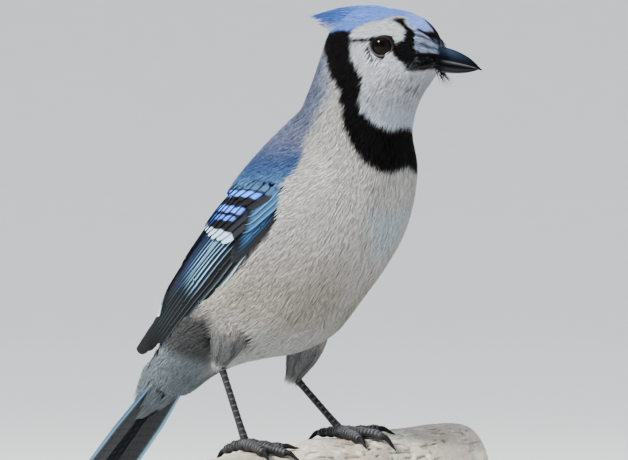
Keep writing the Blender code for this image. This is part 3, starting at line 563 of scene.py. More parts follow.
def headAndBodyTint(t, angle, lift):
    # the markings' colour at points of the body, with some painted shade, worked out on its right side
    points = bodyAt(t, -np.abs(angle), lift)
    at = looseEdged(points, 1.0)
    x, y = at[..., 0], at[..., 1]
    tint = flood("breast", x.shape)
    # the lower flank: its own grey-brown, made darker with painted shade towards the bottom and the back
    lowFlankShade = ramp(y, *fades["flankShadeDown"]) * ramp(x, *fades["flankShadeAcross"])
    tint = blendTo(tint, colours["flankShaded"], lowFlankShade)
    # painted shade: blue-grey over the pale feathers of the belly's front
    tint = blendTo(tint, colours["whiteWithBlueShade"], 0.6 * insideOf(markings["whiteWithBlueShade"], at, 10))
    tint = blendTo(tint, colours["belly"], 0.75 * insideOf(markings["belly"], at, 14))
    # painted shadow: the wing's shadow over the pale vent, as a dark grey patch
    tint = blendTo(tint, colours["ventShadow"], insideOf(markings["ventShadow"], at, 8))
    # the undertail's pale bluish coverts, darkened with painted shade
    tint = blendTo(tint, colours["undertailShaded"], insideOf(markings["undertailShaded"], at, 8))
    tint = blendTo(tint, colours["nape"], 0.7 * insideOf(markings["nape"], at, 8))
    topOfBack = ramp(np.abs(angle), 0.9, 0.6) * ramp(t, 16.4, 15.6)
    mantle = np.maximum(insideOf(markings["mantle"], at, 5.0), topOfBack)
    blue = blendTo(flood("mantle", x.shape), colours["mantleBlue"], ramp(y, *fades["mantleDown"]))
    tint = blendTo(tint, blue, mantle)
    tint = blendTo(tint, colours["face"], insideOf(markings["whiteFace"], at, 1.6))
    throat = insideOf(markings["throat"], at, 6)
    tint = blendTo(tint, colours["throat"], 0.8 * throat)
    # painted shade: blue-grey on the lower throat, under the head
    tint = blendTo(tint, colours["throatLowShade"], throat * ramp(y, *fades["throatShadeDown"]))
    # dark streaks that spread from the chin over the throat
    spread = np.degrees(np.arctan2(x - chinPixel[0], y - chinPixel[1]))
    streak = ramp(np.sin(spread * 1.5 + 3.0 * noise(points, 6.0, 8)), 0.0, 0.8)
    streak = 0.8 * streak * throat * ramp(y, *fades["streaksStart"]) * ramp(y, *fades["streaksEnd"])
    tint = blendTo(tint, colours["down"] * 0.4, streak)
    tint = blendTo(tint, colours["black"], insideOf(markings["collar"], at, 1.8))
    tint = blendTo(tint, colours["crest"], insideOf(markings["crown"], at, 1.5))
    tint = blendTo(tint, colours["nasal"] * 0.5, insideOf(markings["nasal"], at, 1.5))
    for name in ("eyeLine", "lore", "gape", "browBar"):
        share = 1.0 - 0.1 * ramp(noise(points, 0.8, 11), 0.1, 0.7) if name == "gape" else 1.0
        tint = blendTo(tint, colours["black"], share * insideOf(markings[name], at, 1.6))
    tint = blendTo(tint, colours["lobe"], insideOf(markings["lobes"], at, 1.2))
    tint = blendTo(tint, colours["black"], insideOf(markings["frontBar"], at, 1.2))
    return tint


# Feathers of the coat


trianglesPerBlade = 12
mostTriangles = 190000  # in one piece
samples = 4000  # places where a surface is measured before roots are spread over it
triesPerRoot = 9.0


def measure(surface, a, b):
    # millimetres that one step of each coordinate covers
    here = surface(a, b, 0.0)
    along = np.linalg.norm(surface(a + 0.02, b, 0.0) - here, axis=-1) / 0.02
    around = np.linalg.norm(surface(a, b + 0.02, 0.0) - here, axis=-1) / 0.02
    return here, along, around


def thinOut(points, spacing):
    # keeps points that are at least their spacing from every point kept before them
    cell = float(np.max(spacing))
    kept, cells = [], {}
    keys = np.floor(points / cell).astype(int)
    for i, (p, key, gap) in enumerate(zip(points, keys, spacing)):
        close = False
        for dx in (-1, 0, 1):
            for dy in (-1, 0, 1):
                for dz in (-1, 0, 1):
                    for q in cells.get((key[0] + dx, key[1] + dy, key[2] + dz), ()):
                        if (p[0] - q[0]) ** 2 + (p[1] - q[1]) ** 2 + (p[2] - q[2]) ** 2 < gap * gap:
                            close = True
                            break
        if not close:
            cells.setdefault((key[0], key[1], key[2]), []).append(p)
            kept.append(i)
    return np.array(kept, int)


def evenly(spacing):
    # the same spacing everywhere
    return lambda a, b: spacing + 0.0 * a


def scatter(surface, a0, a1, b0, b1, spacing):
    # roots spread evenly over a surface: spacing(a, b) in millimetres
    a = rng.uniform(a0, a1, samples)
    b = rng.uniform(b0, b1, samples)
    _, along, around = measure(surface, a, b)
    need = np.mean(along * around / spacing(a, b) ** 2) * abs((a1 - a0) * (b1 - b0))
    count = int(need * triesPerRoot)
    a, b = rng.uniform(a0, a1, count), rng.uniform(b0, b1, count)
    here, along, around = measure(surface, a, b)
    gap = spacing(a, b)
    weight = along * around / gap ** 2
    keep = rng.uniform(0, 1, count) < weight / np.percentile(weight, 98)
    a, b, here, gap = a[keep], b[keep], here[keep], gap[keep]
    kept = thinOut(here, gap)
    return a[kept], b[kept]


def growFeathers(pile, surface, a, b, look, tintAt, flatAt):
    # feathers of separate barb tufts, fanned from each root along the surface's lie
    # look, in millimetres, each for one feather or for all: length, width, how deep the root lies,
    # how far the tip rises, blades, their thickness, and the turn off the lie in radians
    _, along, around = measure(surface, a, b)
    count, blades = len(a), look["blades"]
    full = lambda value: np.broadcast_to(np.asarray(value, float), (count,))[:, None]
    length, width, depth = full(look["length"]), full(look["width"]), full(look["depth"])
    rise, thick, turn = full(look["rise"]), full(look["thick"]), full(look.get("turn", 0.0))
    q = np.linspace(-1, 1, blades)[None, :] + rng.uniform(-0.12, 0.12, (count, blades))
    reach = length * (1 - 0.32 * q ** 2) * rng.uniform(0.86, 1.06, (count, blades))
    turn = turn + rng.normal(0, look.get("scatter", 0.06), (count, 1)) \
        + rng.normal(0, 0.03, (count, blades))
    lift = rng.normal(0, look.get("ruffle", 0.12), (count, 1)) \
        + rng.normal(0, look.get("loose", 0.05), (count, blades))
    share = np.array([0.0, 0.36, 0.72, 1.0])
    half = np.array([0.0, 0.62, 0.5, 0.0]) * 2.0
    run = reach[..., None] * share
    side = width[..., None] * 0.5 * q[..., None] * (0.3 + 0.7 * share ** 0.8)
    bend = turn[..., None]
    ahead = run * np.cos(bend) - side * np.sin(bend)
    out = run * np.sin(bend) + side * np.cos(bend)
    high = -depth[..., None] * (1 - share) ** 2.0 + (rise[..., None] + lift[..., None]) * share
    blade = 0.5 * width / blades * 1.25
    corners = ((0, 0.0, 0.0), (1, -1.0, 0.0), (1, 1.0, 0.0), (1, 0.0, 1.0), (2, -1.0, 0.0), (2, 1.0, 0.0),
               (2, 0.0, 1.0), (3, 0.0, 0.0))
    station = np.array([c[0] for c in corners])
    across = np.array([c[1] for c in corners]) * half[station]
    ridge = np.array([c[2] for c in corners])
    outAll = out[..., station] + across * blade[..., None]
    stepA = ahead[..., station] / along[:, None, None]
    stepB = outAll / around[:, None, None]
    points = surface(a[:, None, None] + stepA, b[:, None, None] + stepB,
                     high[..., station] + ridge * thick[..., None])
    pull = look.get("whole", 0.5)  # how far each feather keeps to one colour
    aheadTint = ahead * (1 - pull) + pull * 0.7 * length[..., None]
    tint = tintAt(a[:, None, None] + aheadTint / along[:, None, None],
                  b[:, None, None] + (1 - pull) * out / around[:, None, None], high)
    tone = 1 + rng.normal(0, look.get("tone", 0.05), (count, 1, 1)) \
        + rng.normal(0, look.get("bladeTone", 0.06), (count, blades, 1))
    dark = np.where(rng.uniform(0, 1, (count, blades, 1)) < look.get("streaks", 0.0), 0.76, 1.0)
    # darker towards each blade's root: the grey down at the feather's base, with painted shade where the
    # feathers overlap
    downyBaseAndShade = np.array([0.74, 0.9, 1.0, 1.03])
    tint = tint * (tone * dark * downyBaseAndShade)[..., None]
    face = np.array([(0, 2, 3), (0, 3, 1), (0, 1, 2), (1, 3, 6), (1, 6, 4), (3, 2, 5), (3, 5, 6),
                     (2, 1, 4), (2, 4, 5), (4, 6, 7), (6, 5, 7), (5, 4, 7)])
    flatPoints = points.reshape(-1, 3)
    total = count * blades
    faces = (np.arange(total)[:, None, None] * 8 + face).reshape(-1, 3)
    if volumeOf(flatPoints, faces) < 0:
        faces = faces[:, ::-1]
    root = flatAt(a, b)[:, None, None, :]
    patch = np.stack([np.broadcast_to(q[..., None] * 0.5 + 0.5, points.shape[:3]),
                      np.broadcast_to(share[station], points.shape[:3])], -1) * 0.003
    pile.add(flatPoints, faces, tint[..., station, :].reshape(-1, 3), (root + patch).reshape(-1, 2),
             np.zeros_like(flatPoints))


def makeCoat(name, surface, a, b, look, tintAt, flatAt, slotName="body_feathers"):
    # one piece, or several when the triangles would be too many for one
    perFeather = look["blades"] * trianglesPerBlade
    most = mostTriangles // perFeather
    order = np.argsort(a)
    a, b = a[order], b[order]
    pieces = max(1, math.ceil(len(a) / most))
    for n, part in enumerate(np.array_split(np.arange(len(a)), pieces)):
        pile = Pile()
        chosen = {k: (v[order][part] if isinstance(v, np.ndarray) else v) for k, v in look.items()}
        growFeathers(pile, surface, a[part], b[part], chosen, tintAt, flatAt)
        keep(pile.make(f"{name}_{n + 1}" if pieces > 1 else name, coatMaterial), slotName)
    print(name, len(a), "feathers,", len(a) * perFeather, "triangles")


def keep(thing, slotName, replaced=()):
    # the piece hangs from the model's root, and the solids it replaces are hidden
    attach(thing, "root")
    if replaced:
        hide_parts(*replaced)


coatMaterial = plumageMaterial("body_plumage_soft_barbs", 0.9, False)
vaneMaterial = plumageMaterial("flight_feathers_barbed_vanes", 0.55, True)


# Skin: one surface under the whole coat


skinLook = {
    "at": (0, 4, 12, 16, 19, bodyEnd),  # sections of the body
    "under": (1.2, 3.2, 3.0, 2.0, 1.5, 0.8),  # how far the skin lies under the feathers' surface
    "underWing": 6.2,
    "thighAt": (0, 0.6, 1.1),  # shares of the thigh's length
    "underThigh": (1.8, 1.4, 0.3),
    "voxel": 1.0,
    # painted shade: the skin shows through the gaps in the coat, so its colours are made darker
    "shade": 0.7,  # the skin is darker than the feathers over it
}


def coatDepth(t):
    # the coat's depth over the skin, shallow on the face
    return smoothTable(skinLook["at"], skinLook["under"], t)


def skin():
    t = np.linspace(0.0, bodyEnd - 0.05, 150)[:, None]
    angle = np.linspace(0, 2 * math.pi, 96, endpoint=False)[None, :]
    outer = bodyAt(t, angle, 0.0)
    depth = np.where(underWing(outer, -3.0) > 0, skinLook["underWing"], 0.0)
    depth = np.maximum(coatDepth(t) + 0 * angle, depth)
    points, faces = ringMesh(bodyAt(t, angle, -depth))
    body = meshObject("skin", points, faces, coatMaterial)
    thighs = []
    for k in (0, 1):
        u = np.linspace(0.0, 1.06, 30)[:, None]
        ring = thighAtPoint(k, u, np.linspace(0, 2 * math.pi, 32, endpoint=False)[None, :],
                            -smoothTable(skinLook["thighAt"], skinLook["underThigh"], u))
        thighs.append(meshObject("thigh", *ringMesh(ring), coatMaterial))
    bpy.ops.object.select_all(action="DESELECT")
    for thing in thighs + [body]:
        thing.select_set(True)
    bpy.context.view_layer.objects.active = body
    bpy.ops.object.join()
    change = body.modifiers.new("one skin", "REMESH")
    change.mode = "VOXEL"
    change.voxel_size = skinLook["voxel"] * mm
    bpy.ops.object.modifier_apply(modifier=change.name)
    change = body.modifiers.new("relax", "SMOOTH")
    change.factor = 0.5
    change.iterations = 6
    bpy.ops.object.modifier_apply(modifier=change.name)
    body.data.shade_smooth()
    points = np.empty(len(body.data.vertices) * 3, np.float32)
    body.data.vertices.foreach_get("co", points)
    points = points.reshape(-1, 3) / mm - birdOrigin
    # the coat's markings with painted shade, for the skin that shows between the feathers
    paint(body.data, nearestTint(points) * skinLook["shade"])
    bpy.ops.object.mode_set(mode="EDIT")
    bpy.ops.mesh.select_all(action="SELECT")
    bpy.ops.uv.smart_project(angle_limit=math.radians(66), island_margin=0.002)
    bpy.ops.object.mode_set(mode="OBJECT")
    body.data.uv_layers[0].name = "OFBake"
    keep(body, "body_feathers", ("torso", "neck", "head", "thigh_right", "thigh_left"))
    print("skin", len(body.data.polygons), "faces")


def nearestTint(points):
    # the coat's colour at the body section nearest to each point
    t, angle = np.meshgrid(np.linspace(0, bodyEnd, 130), np.linspace(-math.pi, math.pi, 80), indexing="ij")
    t, angle = t.ravel(), angle.ravel()
    where = bodyAt(t, angle, -2.0)
    tree = KDTree(len(where))
    for i, p in enumerate(where):
        tree.insert(p, i)
    tree.balance()
    index = np.array([tree.find(p)[1] for p in points])
    return headAndBodyTint(t[index], angle[index], 0.0)


# The body's and head's small feathers


bodyCoat = {
    "at": (0.0, 3.0, 6.0, 9.0, 12.0, 14.0, 16.0, 18.5, 21.0, 24.0),
    "length": (8.0, 10.0, 13.0, 12.5, 11.5, 10.0, 8.0, 5.8, 4.6, 2.8),
    "width": (5.0, 5.0, 4.8, 4.4, 4.0, 3.4, 2.6, 1.8, 1.4, 1.0),
    "spacing": (2.3, 2.3, 2.2, 2.05, 1.95, 1.7, 1.35, 0.92, 0.74, 0.55),
    "bodyBlades": 13,
    "headBlades": 8,
    "headFrom": 16.2,
    "tail": 1.5,  # the coat ends here, under the tail's coverts
    "rootDepth": 0.9,  # share of the coat's depth
    "rise": 0.1,
    "tuck": 4.4,  # how much lower the tips lie at the wing's edge, to run in under it
}
eyeLook = {
    "ahead": 5.0,  # from the head's axis
    "out": 12.0,
    "up": 164.6,
    "radius": 5.0,
    "bare": (5.3, 4.7),  # half sizes of the bare patch round the eye, with its lids
    "opening": (4.15, 3.55),
    "creases": 46,
    "iris": "#0c0705",
    "pupil": "#050404",
    "rim": "#0b0908",
    "lid": "#17171a",
    "lidEdge": "#4a4c52",
}


def bodyLie(a, b, lift):
    # along the body from the bill to the tail
    return bodyAt(bodyEnd - a, b, lift)


def bodyFlat(a, b):
    return np.stack([(b / (2 * math.pi) + 0.5) * 0.94 + 0.02, a / bodyEnd * 0.94 + 0.02], -1)


def bodyLieTint(a, b, lift):
    return headAndBodyTint(bodyEnd - a, b, lift)


def awayFromEye(points):
    # how far points lie outside the bare patch of the nearer eye, as a share of its size
    ahead = (points - onHead(0.0, 0.0, 0.0)) @ np.array([math.cos(headTurn), math.sin(headTurn), 0.0])
    out = (points - onHead(0.0, 0.0, 0.0)) @ np.array([-math.sin(headTurn), math.cos(headTurn), 0.0])
    wide, tall = eyeLook["bare"]
    place = np.hypot((ahead - eyeLook["ahead"]) / wide, (points[..., 2] - eyeLook["up"]) / tall)
    return np.where(np.abs(out) > 6.0, place, 9.0)


def insideThigh(points):
    inside = np.zeros(points.shape[:-1], bool)
    for k in (0, 1):
        line = heels[k] - hips[k]
        u = np.clip(((points - hips[k]) @ line) / (line @ line), 0.0, 1.1)
        away = np.linalg.norm(points - hips[k] - u[..., None] * line, axis=-1)
        inside |= (away < smoothTable(thighAt, thighRadii, u) - 0.6) & (u > 0.5)
    return inside


def coat():
    spacing = lambda a, b: smoothTable(bodyCoat["at"], bodyCoat["spacing"], bodyEnd - a)
    for word, low, high, blades in (
        ("coat_body", bodyCoat["tail"], bodyCoat["headFrom"], bodyCoat["bodyBlades"]),
        ("coat_head", bodyCoat["headFrom"], bodyEnd - 0.02, bodyCoat["headBlades"]),
    ):
        a, b = scatter(bodyLie, bodyEnd - high, bodyEnd - low, -math.pi, math.pi, spacing)
        t = bodyEnd - a
        here = bodyAt(t, b, 0.0)
        length = smoothTable(bodyCoat["at"], bodyCoat["length"], t)
        tips = bodyLie(a + length / measure(bodyLie, a, b)[1], b, 0.0)
        free = (underWing(here, 4.0) < 0) & (awayFromEye(here) > 1.0) & (awayFromEye(tips) > 0.9)
        free &= ~insideThigh(here) & ~insideThigh(tips)
        tucked = np.clip(np.maximum(underWing(here, -2.0) / 4.0, underWing(tips, 0.0) / 3.0), 0, 1)
        a, b, t, length, tucked = a[free], b[free], t[free], length[free], tucked[free]
        look = {
            "length": length, "width": smoothTable(bodyCoat["at"], bodyCoat["width"], t),
            "depth": coatDepth(t) * bodyCoat["rootDepth"],
            "rise": bodyCoat["rise"] - bodyCoat["tuck"] * tucked, "blades": blades,
            "thick": 0.015 + 0.0015 * length, "streaks": 0.2, "ruffle": 0.02, "tone": 0.02,
            "bladeTone": 0.1, "loose": 0.09, "scatter": 0.035,
        }
        slotName = "body_feathers" if word == "coat_body" else "face_feathers"
        makeCoat(word, bodyLie, a, b, look, bodyLieTint, bodyFlat, slotName)


coverLimit = {  # how far back along the wing the body's feathers are rooted over it, by angle
    "angle": (-34.0, -22.0, -13.0, -6.0, 5.0, 9.0, 20.0, 38.0, 60.0, 97.0),
    "distance": (27.0, 21.0, 13.0, 9.0, 4.0, 5.0, 13.0, 28.0, 35.0, 39.0),
    "start": -16.0,
    "end": 40.0,
    "spacing": 1.9,
}
coverLook = {
    "length": 10.0, "width": 4.8, "depth": 1.0, "rise": 0.9, "blades": 12, "thick": 0.06,
    "ruffle": 0.05, "tone": 0.03, "bladeTone": 0.13, "streaks": 0.16, "loose": 0.12,
}


def wingCover():
    # breast and shoulder feathers that run over the front and the upper edge of the wing
    for word, side in sides:
        def surface(a, b, lift):
            return archAtPoint(a, np.degrees(b), side, lift)

        def tintAt(a, b, lift):
            at = looseEdged(archAtPoint(a, np.degrees(b), -1, lift), 1.5)
            y = at[..., 1]
            # the breast's colour, turning lower down into the flank's, which holds painted shade
            base = blendTo(flood("breast", y.shape), colours["flankShaded"], ramp(y, *fades["flankShadeDown"]))
            blue = blendTo(flood("mantle", y.shape), colours["mantleBlue"], ramp(y, *fades["coverDown"]))
            blue = blendTo(blue, colours["scapular"], ramp(y, *fades["scapularDown"]))
            overBack = ramp(np.degrees(b), 55.0, 68.0) + 0 * y
            return blendTo(base, blue, np.maximum(insideOf(markings["mantle"], at, 2.5), overBack))

        lowest, highest = (math.radians(coverLimit["angle"][i]) for i in (0, -1))
        a, b = scatter(surface, coverLimit["start"], coverLimit["end"], lowest, highest,
                       evenly(coverLimit["spacing"]))
        limit = np.interp(np.degrees(b), coverLimit["angle"], coverLimit["distance"])
        inside = a < limit + rng.uniform(-1, 1, len(a))
        makeCoat(f"wing_cover_{word}", surface, a[inside], b[inside], coverLook, tintAt,
                 lambda a, b: np.stack([0.1 + 0.004 * a, 0.3 + 0.3 * b], -1))


thighLook = {  # feathers in millimetres at the hip, and how much less at the heel
    "length": (8.5, 4.0),
    "width": (3.2, 2.2),
    "depth": (1.6, 1.2),
    "spacing": (1.7, 0.8),
    "legLength": 37.0,
    "lastTip": 1.13,  # share of the leg's length that no feather reaches beyond
}


def lessDown(name, a):
    return thighLook[name][0] - thighLook[name][1] * a


def thighCoat():
    for k, (word, _) in enumerate(sides):
        def surface(a, b, lift):
            return thighAtPoint(k, a, b, lift)

        def tintAt(a, b, lift):
            points = thighAtPoint(k, a, b, lift)
            # from the flank's colour, which holds painted shade, at the hip to the thigh's own grey
            base = blendTo(flood("flankShaded", points.shape[:-1]), colours["thigh"], ramp(a, 0.35, 0.7))
            streak = ramp(np.sin(b * 7.0 + 1.5 * noise(points, 4.0, 3)), 0.2, 0.9) * ramp(a, 0.35, 0.8)
            tint = blendTo(base, colours["down"] * 0.4, 0.75 * streak)
            return blendTo(tint, colours["breast"], ramp(a, 1.0, 1.1))

        a, b = scatter(surface, 0.12, 1.02, -math.pi, math.pi, lambda a, b: lessDown("spacing", a))
        length = np.minimum(lessDown("length", a), (thighLook["lastTip"] - a) * thighLook["legLength"])
        look = {"length": length, "width": lessDown("width", a), "depth": lessDown("depth", a),
                "rise": 0.3, "blades": 9, "thick": 0.05, "streaks": 0.2, "ruffle": 0.05, "loose": 0.12,
                "bladeTone": 0.14}
        makeCoat(f"coat_thigh_{word}", surface, a, b, look, tintAt,
                 lambda a, b: np.stack([0.5 + 0.05 * b, 0.2 + 0.3 * a], -1))


# Vanes of the wings, tail and crest


vaneLook = {
    "thick": 0.34,
    "step": 0.7,  # between rows of points
    "across": 15,  # points in a row
    "fray": 0.075,  # how uneven the edges are
    "splits": 0.014,  # share of the rows where the edge is split
    "split": 0.25,  # share of the width that a split takes
    "shaftHeight": 0.22,
    "shaftWidth": 0.45,
}


def vane(pile, place, length, halfWidth, shape, tintAt, underTint=None):
    # a thin closed vane with a raised shaft and slightly split edges
    # place(along share, across in mm, height in mm); tintAt(mm from root, mm from tip, -1 to 1)
    rows = max(8, int(length / vaneLook["step"]))
    across = vaneLook["across"]
    u = np.linspace(0, 1, rows)
    w = np.sin(np.linspace(-1, 1, across) * math.pi / 2)
    profile = shape(u)
    ragged = 1 + vaneLook["fray"] * rng.uniform(-1, 1, rows) / max(halfWidth, 1) * np.clip(u * 4, 0, 1)
    splits = rng.uniform(0, 1, rows) < vaneLook["splits"]
    ragged = np.where(splits, ragged * (1 - vaneLook["split"]), ragged)
    edge = halfWidth * (profile * ragged)[:, None]
    w2, u2 = np.meshgrid(w, u)
    body = vaneLook["thick"] * (1 - w2 ** 2) * np.minimum(1, profile * 3)[:, None] / 2
    shaft = vaneLook["shaftHeight"] * np.exp(-(w2 * halfWidth / vaneLook["shaftWidth"]) ** 2) * (1 - u2)
    top = place(u2, w2 * edge, body + shaft)
    under = place(u2, w2 * edge, -body)[1:-1, 1:-1]
    points = np.concatenate([top.reshape(-1, 3), under.reshape(-1, 3)])
    upper = np.arange(rows * across).reshape(rows, across)
    lower = upper.copy()
    lower[1:-1, 1:-1] = rows * across + np.arange((rows - 2) * (across - 2)).reshape(rows - 2, across - 2)
    quads = np.stack([upper[:-1, :-1], upper[:-1, 1:], upper[1:, 1:], upper[1:, :-1]], -1).reshape(-1, 4)
    back = np.stack([lower[:-1, :-1], lower[1:, :-1], lower[1:, 1:], lower[:-1, 1:]], -1).reshape(-1, 4)
    quads = np.concatenate([quads, back])
    if volumeOf(points, quads) < 0:
        quads = quads[:, ::-1]
    faces = np.concatenate([quads[:, [0, 1, 2]], quads[:, [0, 2, 3]]])
    tint = tintAt(u2 * length, (1 - u2) * length, w2)
    below = tint * 0.8 if underTint is None else underTint(u2 * length, (1 - u2) * length, w2)
    tints = np.concatenate([tint.reshape(-1, 3), below[1:-1, 1:-1].reshape(-1, 3)])
    barb = np.stack([u2 * length - np.abs(w2 * edge) * 0.9, w2 * edge, 0 * u2], -1)
    barbs = np.concatenate([barb.reshape(-1, 3), barb[1:-1, 1:-1].reshape(-1, 3)])
    # each side of each vane has a strip of the unwrap of its own, ten vanes to a row
    cell = len(pile.faces)
    patch = np.stack([(cell % 10 + 0.25 + w2 * 0.2) / 10, (cell // 10 + 0.05 + u2 * 0.9) / 5], -1)
    flats = np.concatenate([patch.reshape(-1, 2), patch[1:-1, 1:-1].reshape(-1, 2) + (0.05, 0.0)])
    pile.add(points, faces, tints, flats, barbs)


def longShape(u):
    tip = np.sqrt(np.clip(1 - ((u - 0.9) / 0.1).clip(0, 1) ** 2, 0.02, 1))
    return np.minimum(0.45 + 1.3 * u, 1.0) * tip


def broadShape(u):
    tip = np.sqrt(np.clip(1 - ((u - 0.72) / 0.28).clip(0, 1) ** 2, 0.02, 1))
    return np.minimum(0.5 + 1.6 * u, 1.0) * tip


def barsTint(base, dark, fromTip, w, period, share):
    # dark bars across a blue vane, bent back from the shaft
    phase = (fromTip + 1.2 * np.abs(w)) / period
    bar = ramp(np.abs(phase - np.round(phase)), 0.5 - share / 2 + 0.06, 0.5 - share / 2 - 0.06)
    return blendTo(dark, base, bar)


# Tiers from the lowest feather up: count, root and tip of the first and of the last as
# (distance, angle), how the tips bow out, half width, lift at root and tip, slope, shape
wingTiers = {
    "primary": (9, (29, -9), (44, 18), (92, -21), (110, 12), 27.0, 4.0, -2.3, -1.8, 0.26, longShape),
    "secondary": (9, (44, 16), (52, 50), (105, 14), (96, 58), 0.0, 4.6, -2.3, -1.7, 0.28, longShape),
    "tertial": (4, (50, 52), (56, 72), (88, 66), (72, 82), 0.0, 5.6, -1.7, -0.9, 0.2, broadShape),
    "primaryCovert": (7, (16, -9), (20, 5), (51, -14), (41, -1), 0.0, 2.5, -1.2, -0.6, 0.28, broadShape),
    "greaterCovert": (13, (20, 5), (52, 72), (50, 4), (66, 80), 2.0, 3.4, -1.1, -0.3, 0.26, broadShape),
    "alula": (3, (10, 0), (12, 8), (37, -2), (32, 6), 0.0, 2.4, -0.7, 0.1, 0.25, broadShape),
    "medianCovert": (11, (14, 8), (38, 74), (30, 12), (52, 78), 0.0, 2.8, -0.7, 0.1, 0.24, broadShape),
}
wingHalfWidth = 28.0  # about, to turn a feather's degrees into millimetres
barRows = {  # where the rows of blue spots and the white tips run over the coverts, by angle
    "angle": (4.0, 14.0, 20.0, 32.0, 60.0, 80.0),
    "first": (20.0, 24.0, 27.5, 35.0, 49.0, 53.0),
    "second": (31.0, 34.5, 38.0, 44.0, 56.0, 59.5),
    "white": (43.0, 47.5, 50.5, 55.5, 61.0, 64.0),
}


def wingTint(tier, share, fromRoot, fromTip, w, s, angle):
    # w runs from -1 at the lower, outer edge to 1 at the edge tucked under the next feather
    flat = lambda name: flood(name, w.shape)
    wobble = 0.3 * np.sin(fromRoot * 0.9 + share * 40)
    outerWeb = ramp(w, -0.3, -0.55)
    lip = ramp(w, -0.83, -0.92)
    if tier == "primary":
        near = ramp(s, 84, 68) * ramp(share, 0.3, 0.5)
        tint = blendTo(flat("wingBlack"), colours["teal"], 0.12 * outerWeb * near)
        tint = blendTo(tint, colours["cyan"], lip * near)
        thin = ramp(w, -0.9, -0.96)
        tint = blendTo(tint, colours["paleEdge"], 0.14 * thin * ramp(s, 118, 98))
        outer = ramp(w, -0.76, -0.84) * ramp(share, 0.15, 0.02) * ramp(fromTip, 2, 12)
        return blendTo(tint, colours["paleEdge"], outer)
    if tier == "secondary":
        near = ramp(s, 82, 62) * ramp(share, 0.36, 0.12)
        tint = blendTo(flat("wingBlack"), colours["royal"], 0.16 * outerWeb * ramp(fromTip, 12, 30))
        tint = blendTo(tint, colours["cyan"], lip * near)
        tint = blendTo(tint, colours["paleEdge"], 0.12 * ramp(w, -0.84, -0.92) * ramp(fromTip, 4, 14))
        return blendTo(tint, colours["white"], ramp(fromTip + 2.0 * np.abs(w), 6.0, 4.2))
    if tier == "tertial":
        base = blendTo(flat("wingBlack"), colours["royal"], 0.75 * ramp(w, 0.6, -0.2))
        tint = barsTint(base, colours["wingBlack"], fromTip + wobble, w, 2.6, 0.45)
        return blendTo(tint, colours["white"], ramp(fromTip + 2.0 * np.abs(w), 5.0, 3.4))
    if tier in ("greaterCovert", "medianCovert"):
        rows = [np.interp(angle, barRows["angle"], barRows[name]) for name in ("first", "second", "white")]
        first, second, white = (s - row + wobble for row in rows)
        web = ramp(w, 0.2, 0.0) * ramp(w, -0.98, -0.86)
        spots = np.maximum(ramp(np.abs(first), 2.1, 1.5), ramp(np.abs(second), 2.1, 1.5))
        spots = np.maximum(spots, 0.8 * ramp(np.abs(second - 5.2), 1.7, 1.2) * ramp(angle, 40, 25))
        lesser = ramp(first, -2.6, -3.6)
        royal = ramp(second, 3.0, 3.5) * ramp(white, -1.0, -1.5) * ramp(angle, 26, 42)
        tint = blendTo(flat("wingBlack"), colours["royal"], 0.85 * royal * web)
        tint = blendTo(tint, colours["scapular"] * 0.6, lesser * ramp(w, -0.97, -0.85))
        spotColour = blendTo(flat("blue"), colours["spot"], ramp(w, 0.1, -0.5))
        tint = blendTo(tint, spotColour, spots * web * ramp(angle, 9, 15))
        tint = blendTo(tint, colours["white"], ramp(white, -0.4, 0.4) * ramp(w, 0.8, 0.5))
        return blendTo(tint, colours["slate"], 0.75 * ramp(angle, 12, 4) * ramp(white, 1.0, -2.0))
    if tier == "primaryCovert":
        teal = ramp(w, -0.5, -0.62) * ramp(w, -0.98, -0.9) * ramp(share, 0.2, 0.5) * ramp(fromTip, 1, 9)
        tint = blendTo(flat("wingBlack"), colours["teal"], teal)
        return blendTo(tint, colours["slate"], ramp(share, 0.5, 0.2) * 0.6)
    teal = ramp(w, 0.5, 0.1) * ramp(w, -0.97, -0.88) * ramp(fromTip, 1, 6)
    return blendTo(blendTo(flat("wingBlack"), colours["teal"], teal), colours["cyan"],
                   0.2 * ramp(w, -0.6, -0.8))


def wing(word, side):
    flight, coverts = Pile(), Pile()
    for tier, numbers in wingTiers.items():
        count, root0, root1, tip0, tip1, bow, half, low, high, slope, shape = numbers
        for i in range(count):
            share = i / (count - 1)
            root = np.array(root0, float) + (np.array(root1, float) - root0) * share
            tip = np.array(tip0, float) + (np.array(tip1, float) - tip0) * share
            tip[0] += bow * math.sin(math.pi * share) + rng.uniform(-0.8, 0.8)
            span = tip - root
            length = math.hypot(span[0], math.radians(span[1]) * wingHalfWidth)

            def onArch(u, w):
                s, angle = root[0] + span[0] * u, root[1] + span[1] * u
                reach = math.radians(1.0) * (smoothTable(archAt, archHalfWidth, s) - 2.0)
                runS, runA = span[0], span[1] * reach
                size = np.hypot(runS, runA)
                return s - runA / size * w, angle + runS / size * w / reach

            def place(u, w, h):
                s, angle = onArch(u, w)
                return archAtPoint(s, angle, side, low + (high - low) * u - slope * w + h)

            def tintAt(fromRoot, fromTip, w):
                return wingTint(tier, share, fromRoot, fromTip, w, *onArch(fromRoot / length, w * half))

            pile = coverts if "overt" in tier or tier == "alula" else flight
            vane(pile, place, length, half, shape, tintAt)
    keep(flight.make(f"wing_{word}_flight_feathers", vaneMaterial), "flight_feathers", (f"wing_{word}",))
    keep(coverts.make(f"wing_{word}_coverts", vaneMaterial), "flight_feathers")
    print("wing", word, sum(len(f) for f in flight.faces + coverts.faces), "triangles")


tailLook = {
    "pairs": 6,
    "start": 46.0,
    "end": 125.0,
    "shorter": 8.0,  # how much sooner the outermost feathers end
    "half": 6.3,
    "innermost": 1.6,  # how far out from the middle the shafts lie
    "outermost": 11.2,
    "step": 0.9,  # each pair lies this far below the one before
    "bars": (4.2, 0.3),  # distance between the bars, and how much of it they take
    "white": (9.0, 7.0),  # where the white tip starts and is full, from the end
}


def whiteTip(k, fromTip):
    # all but the middle pair of tail feathers end in white
    return ramp(fromTip, *tailLook["white"]) if k else 0.0 * fromTip


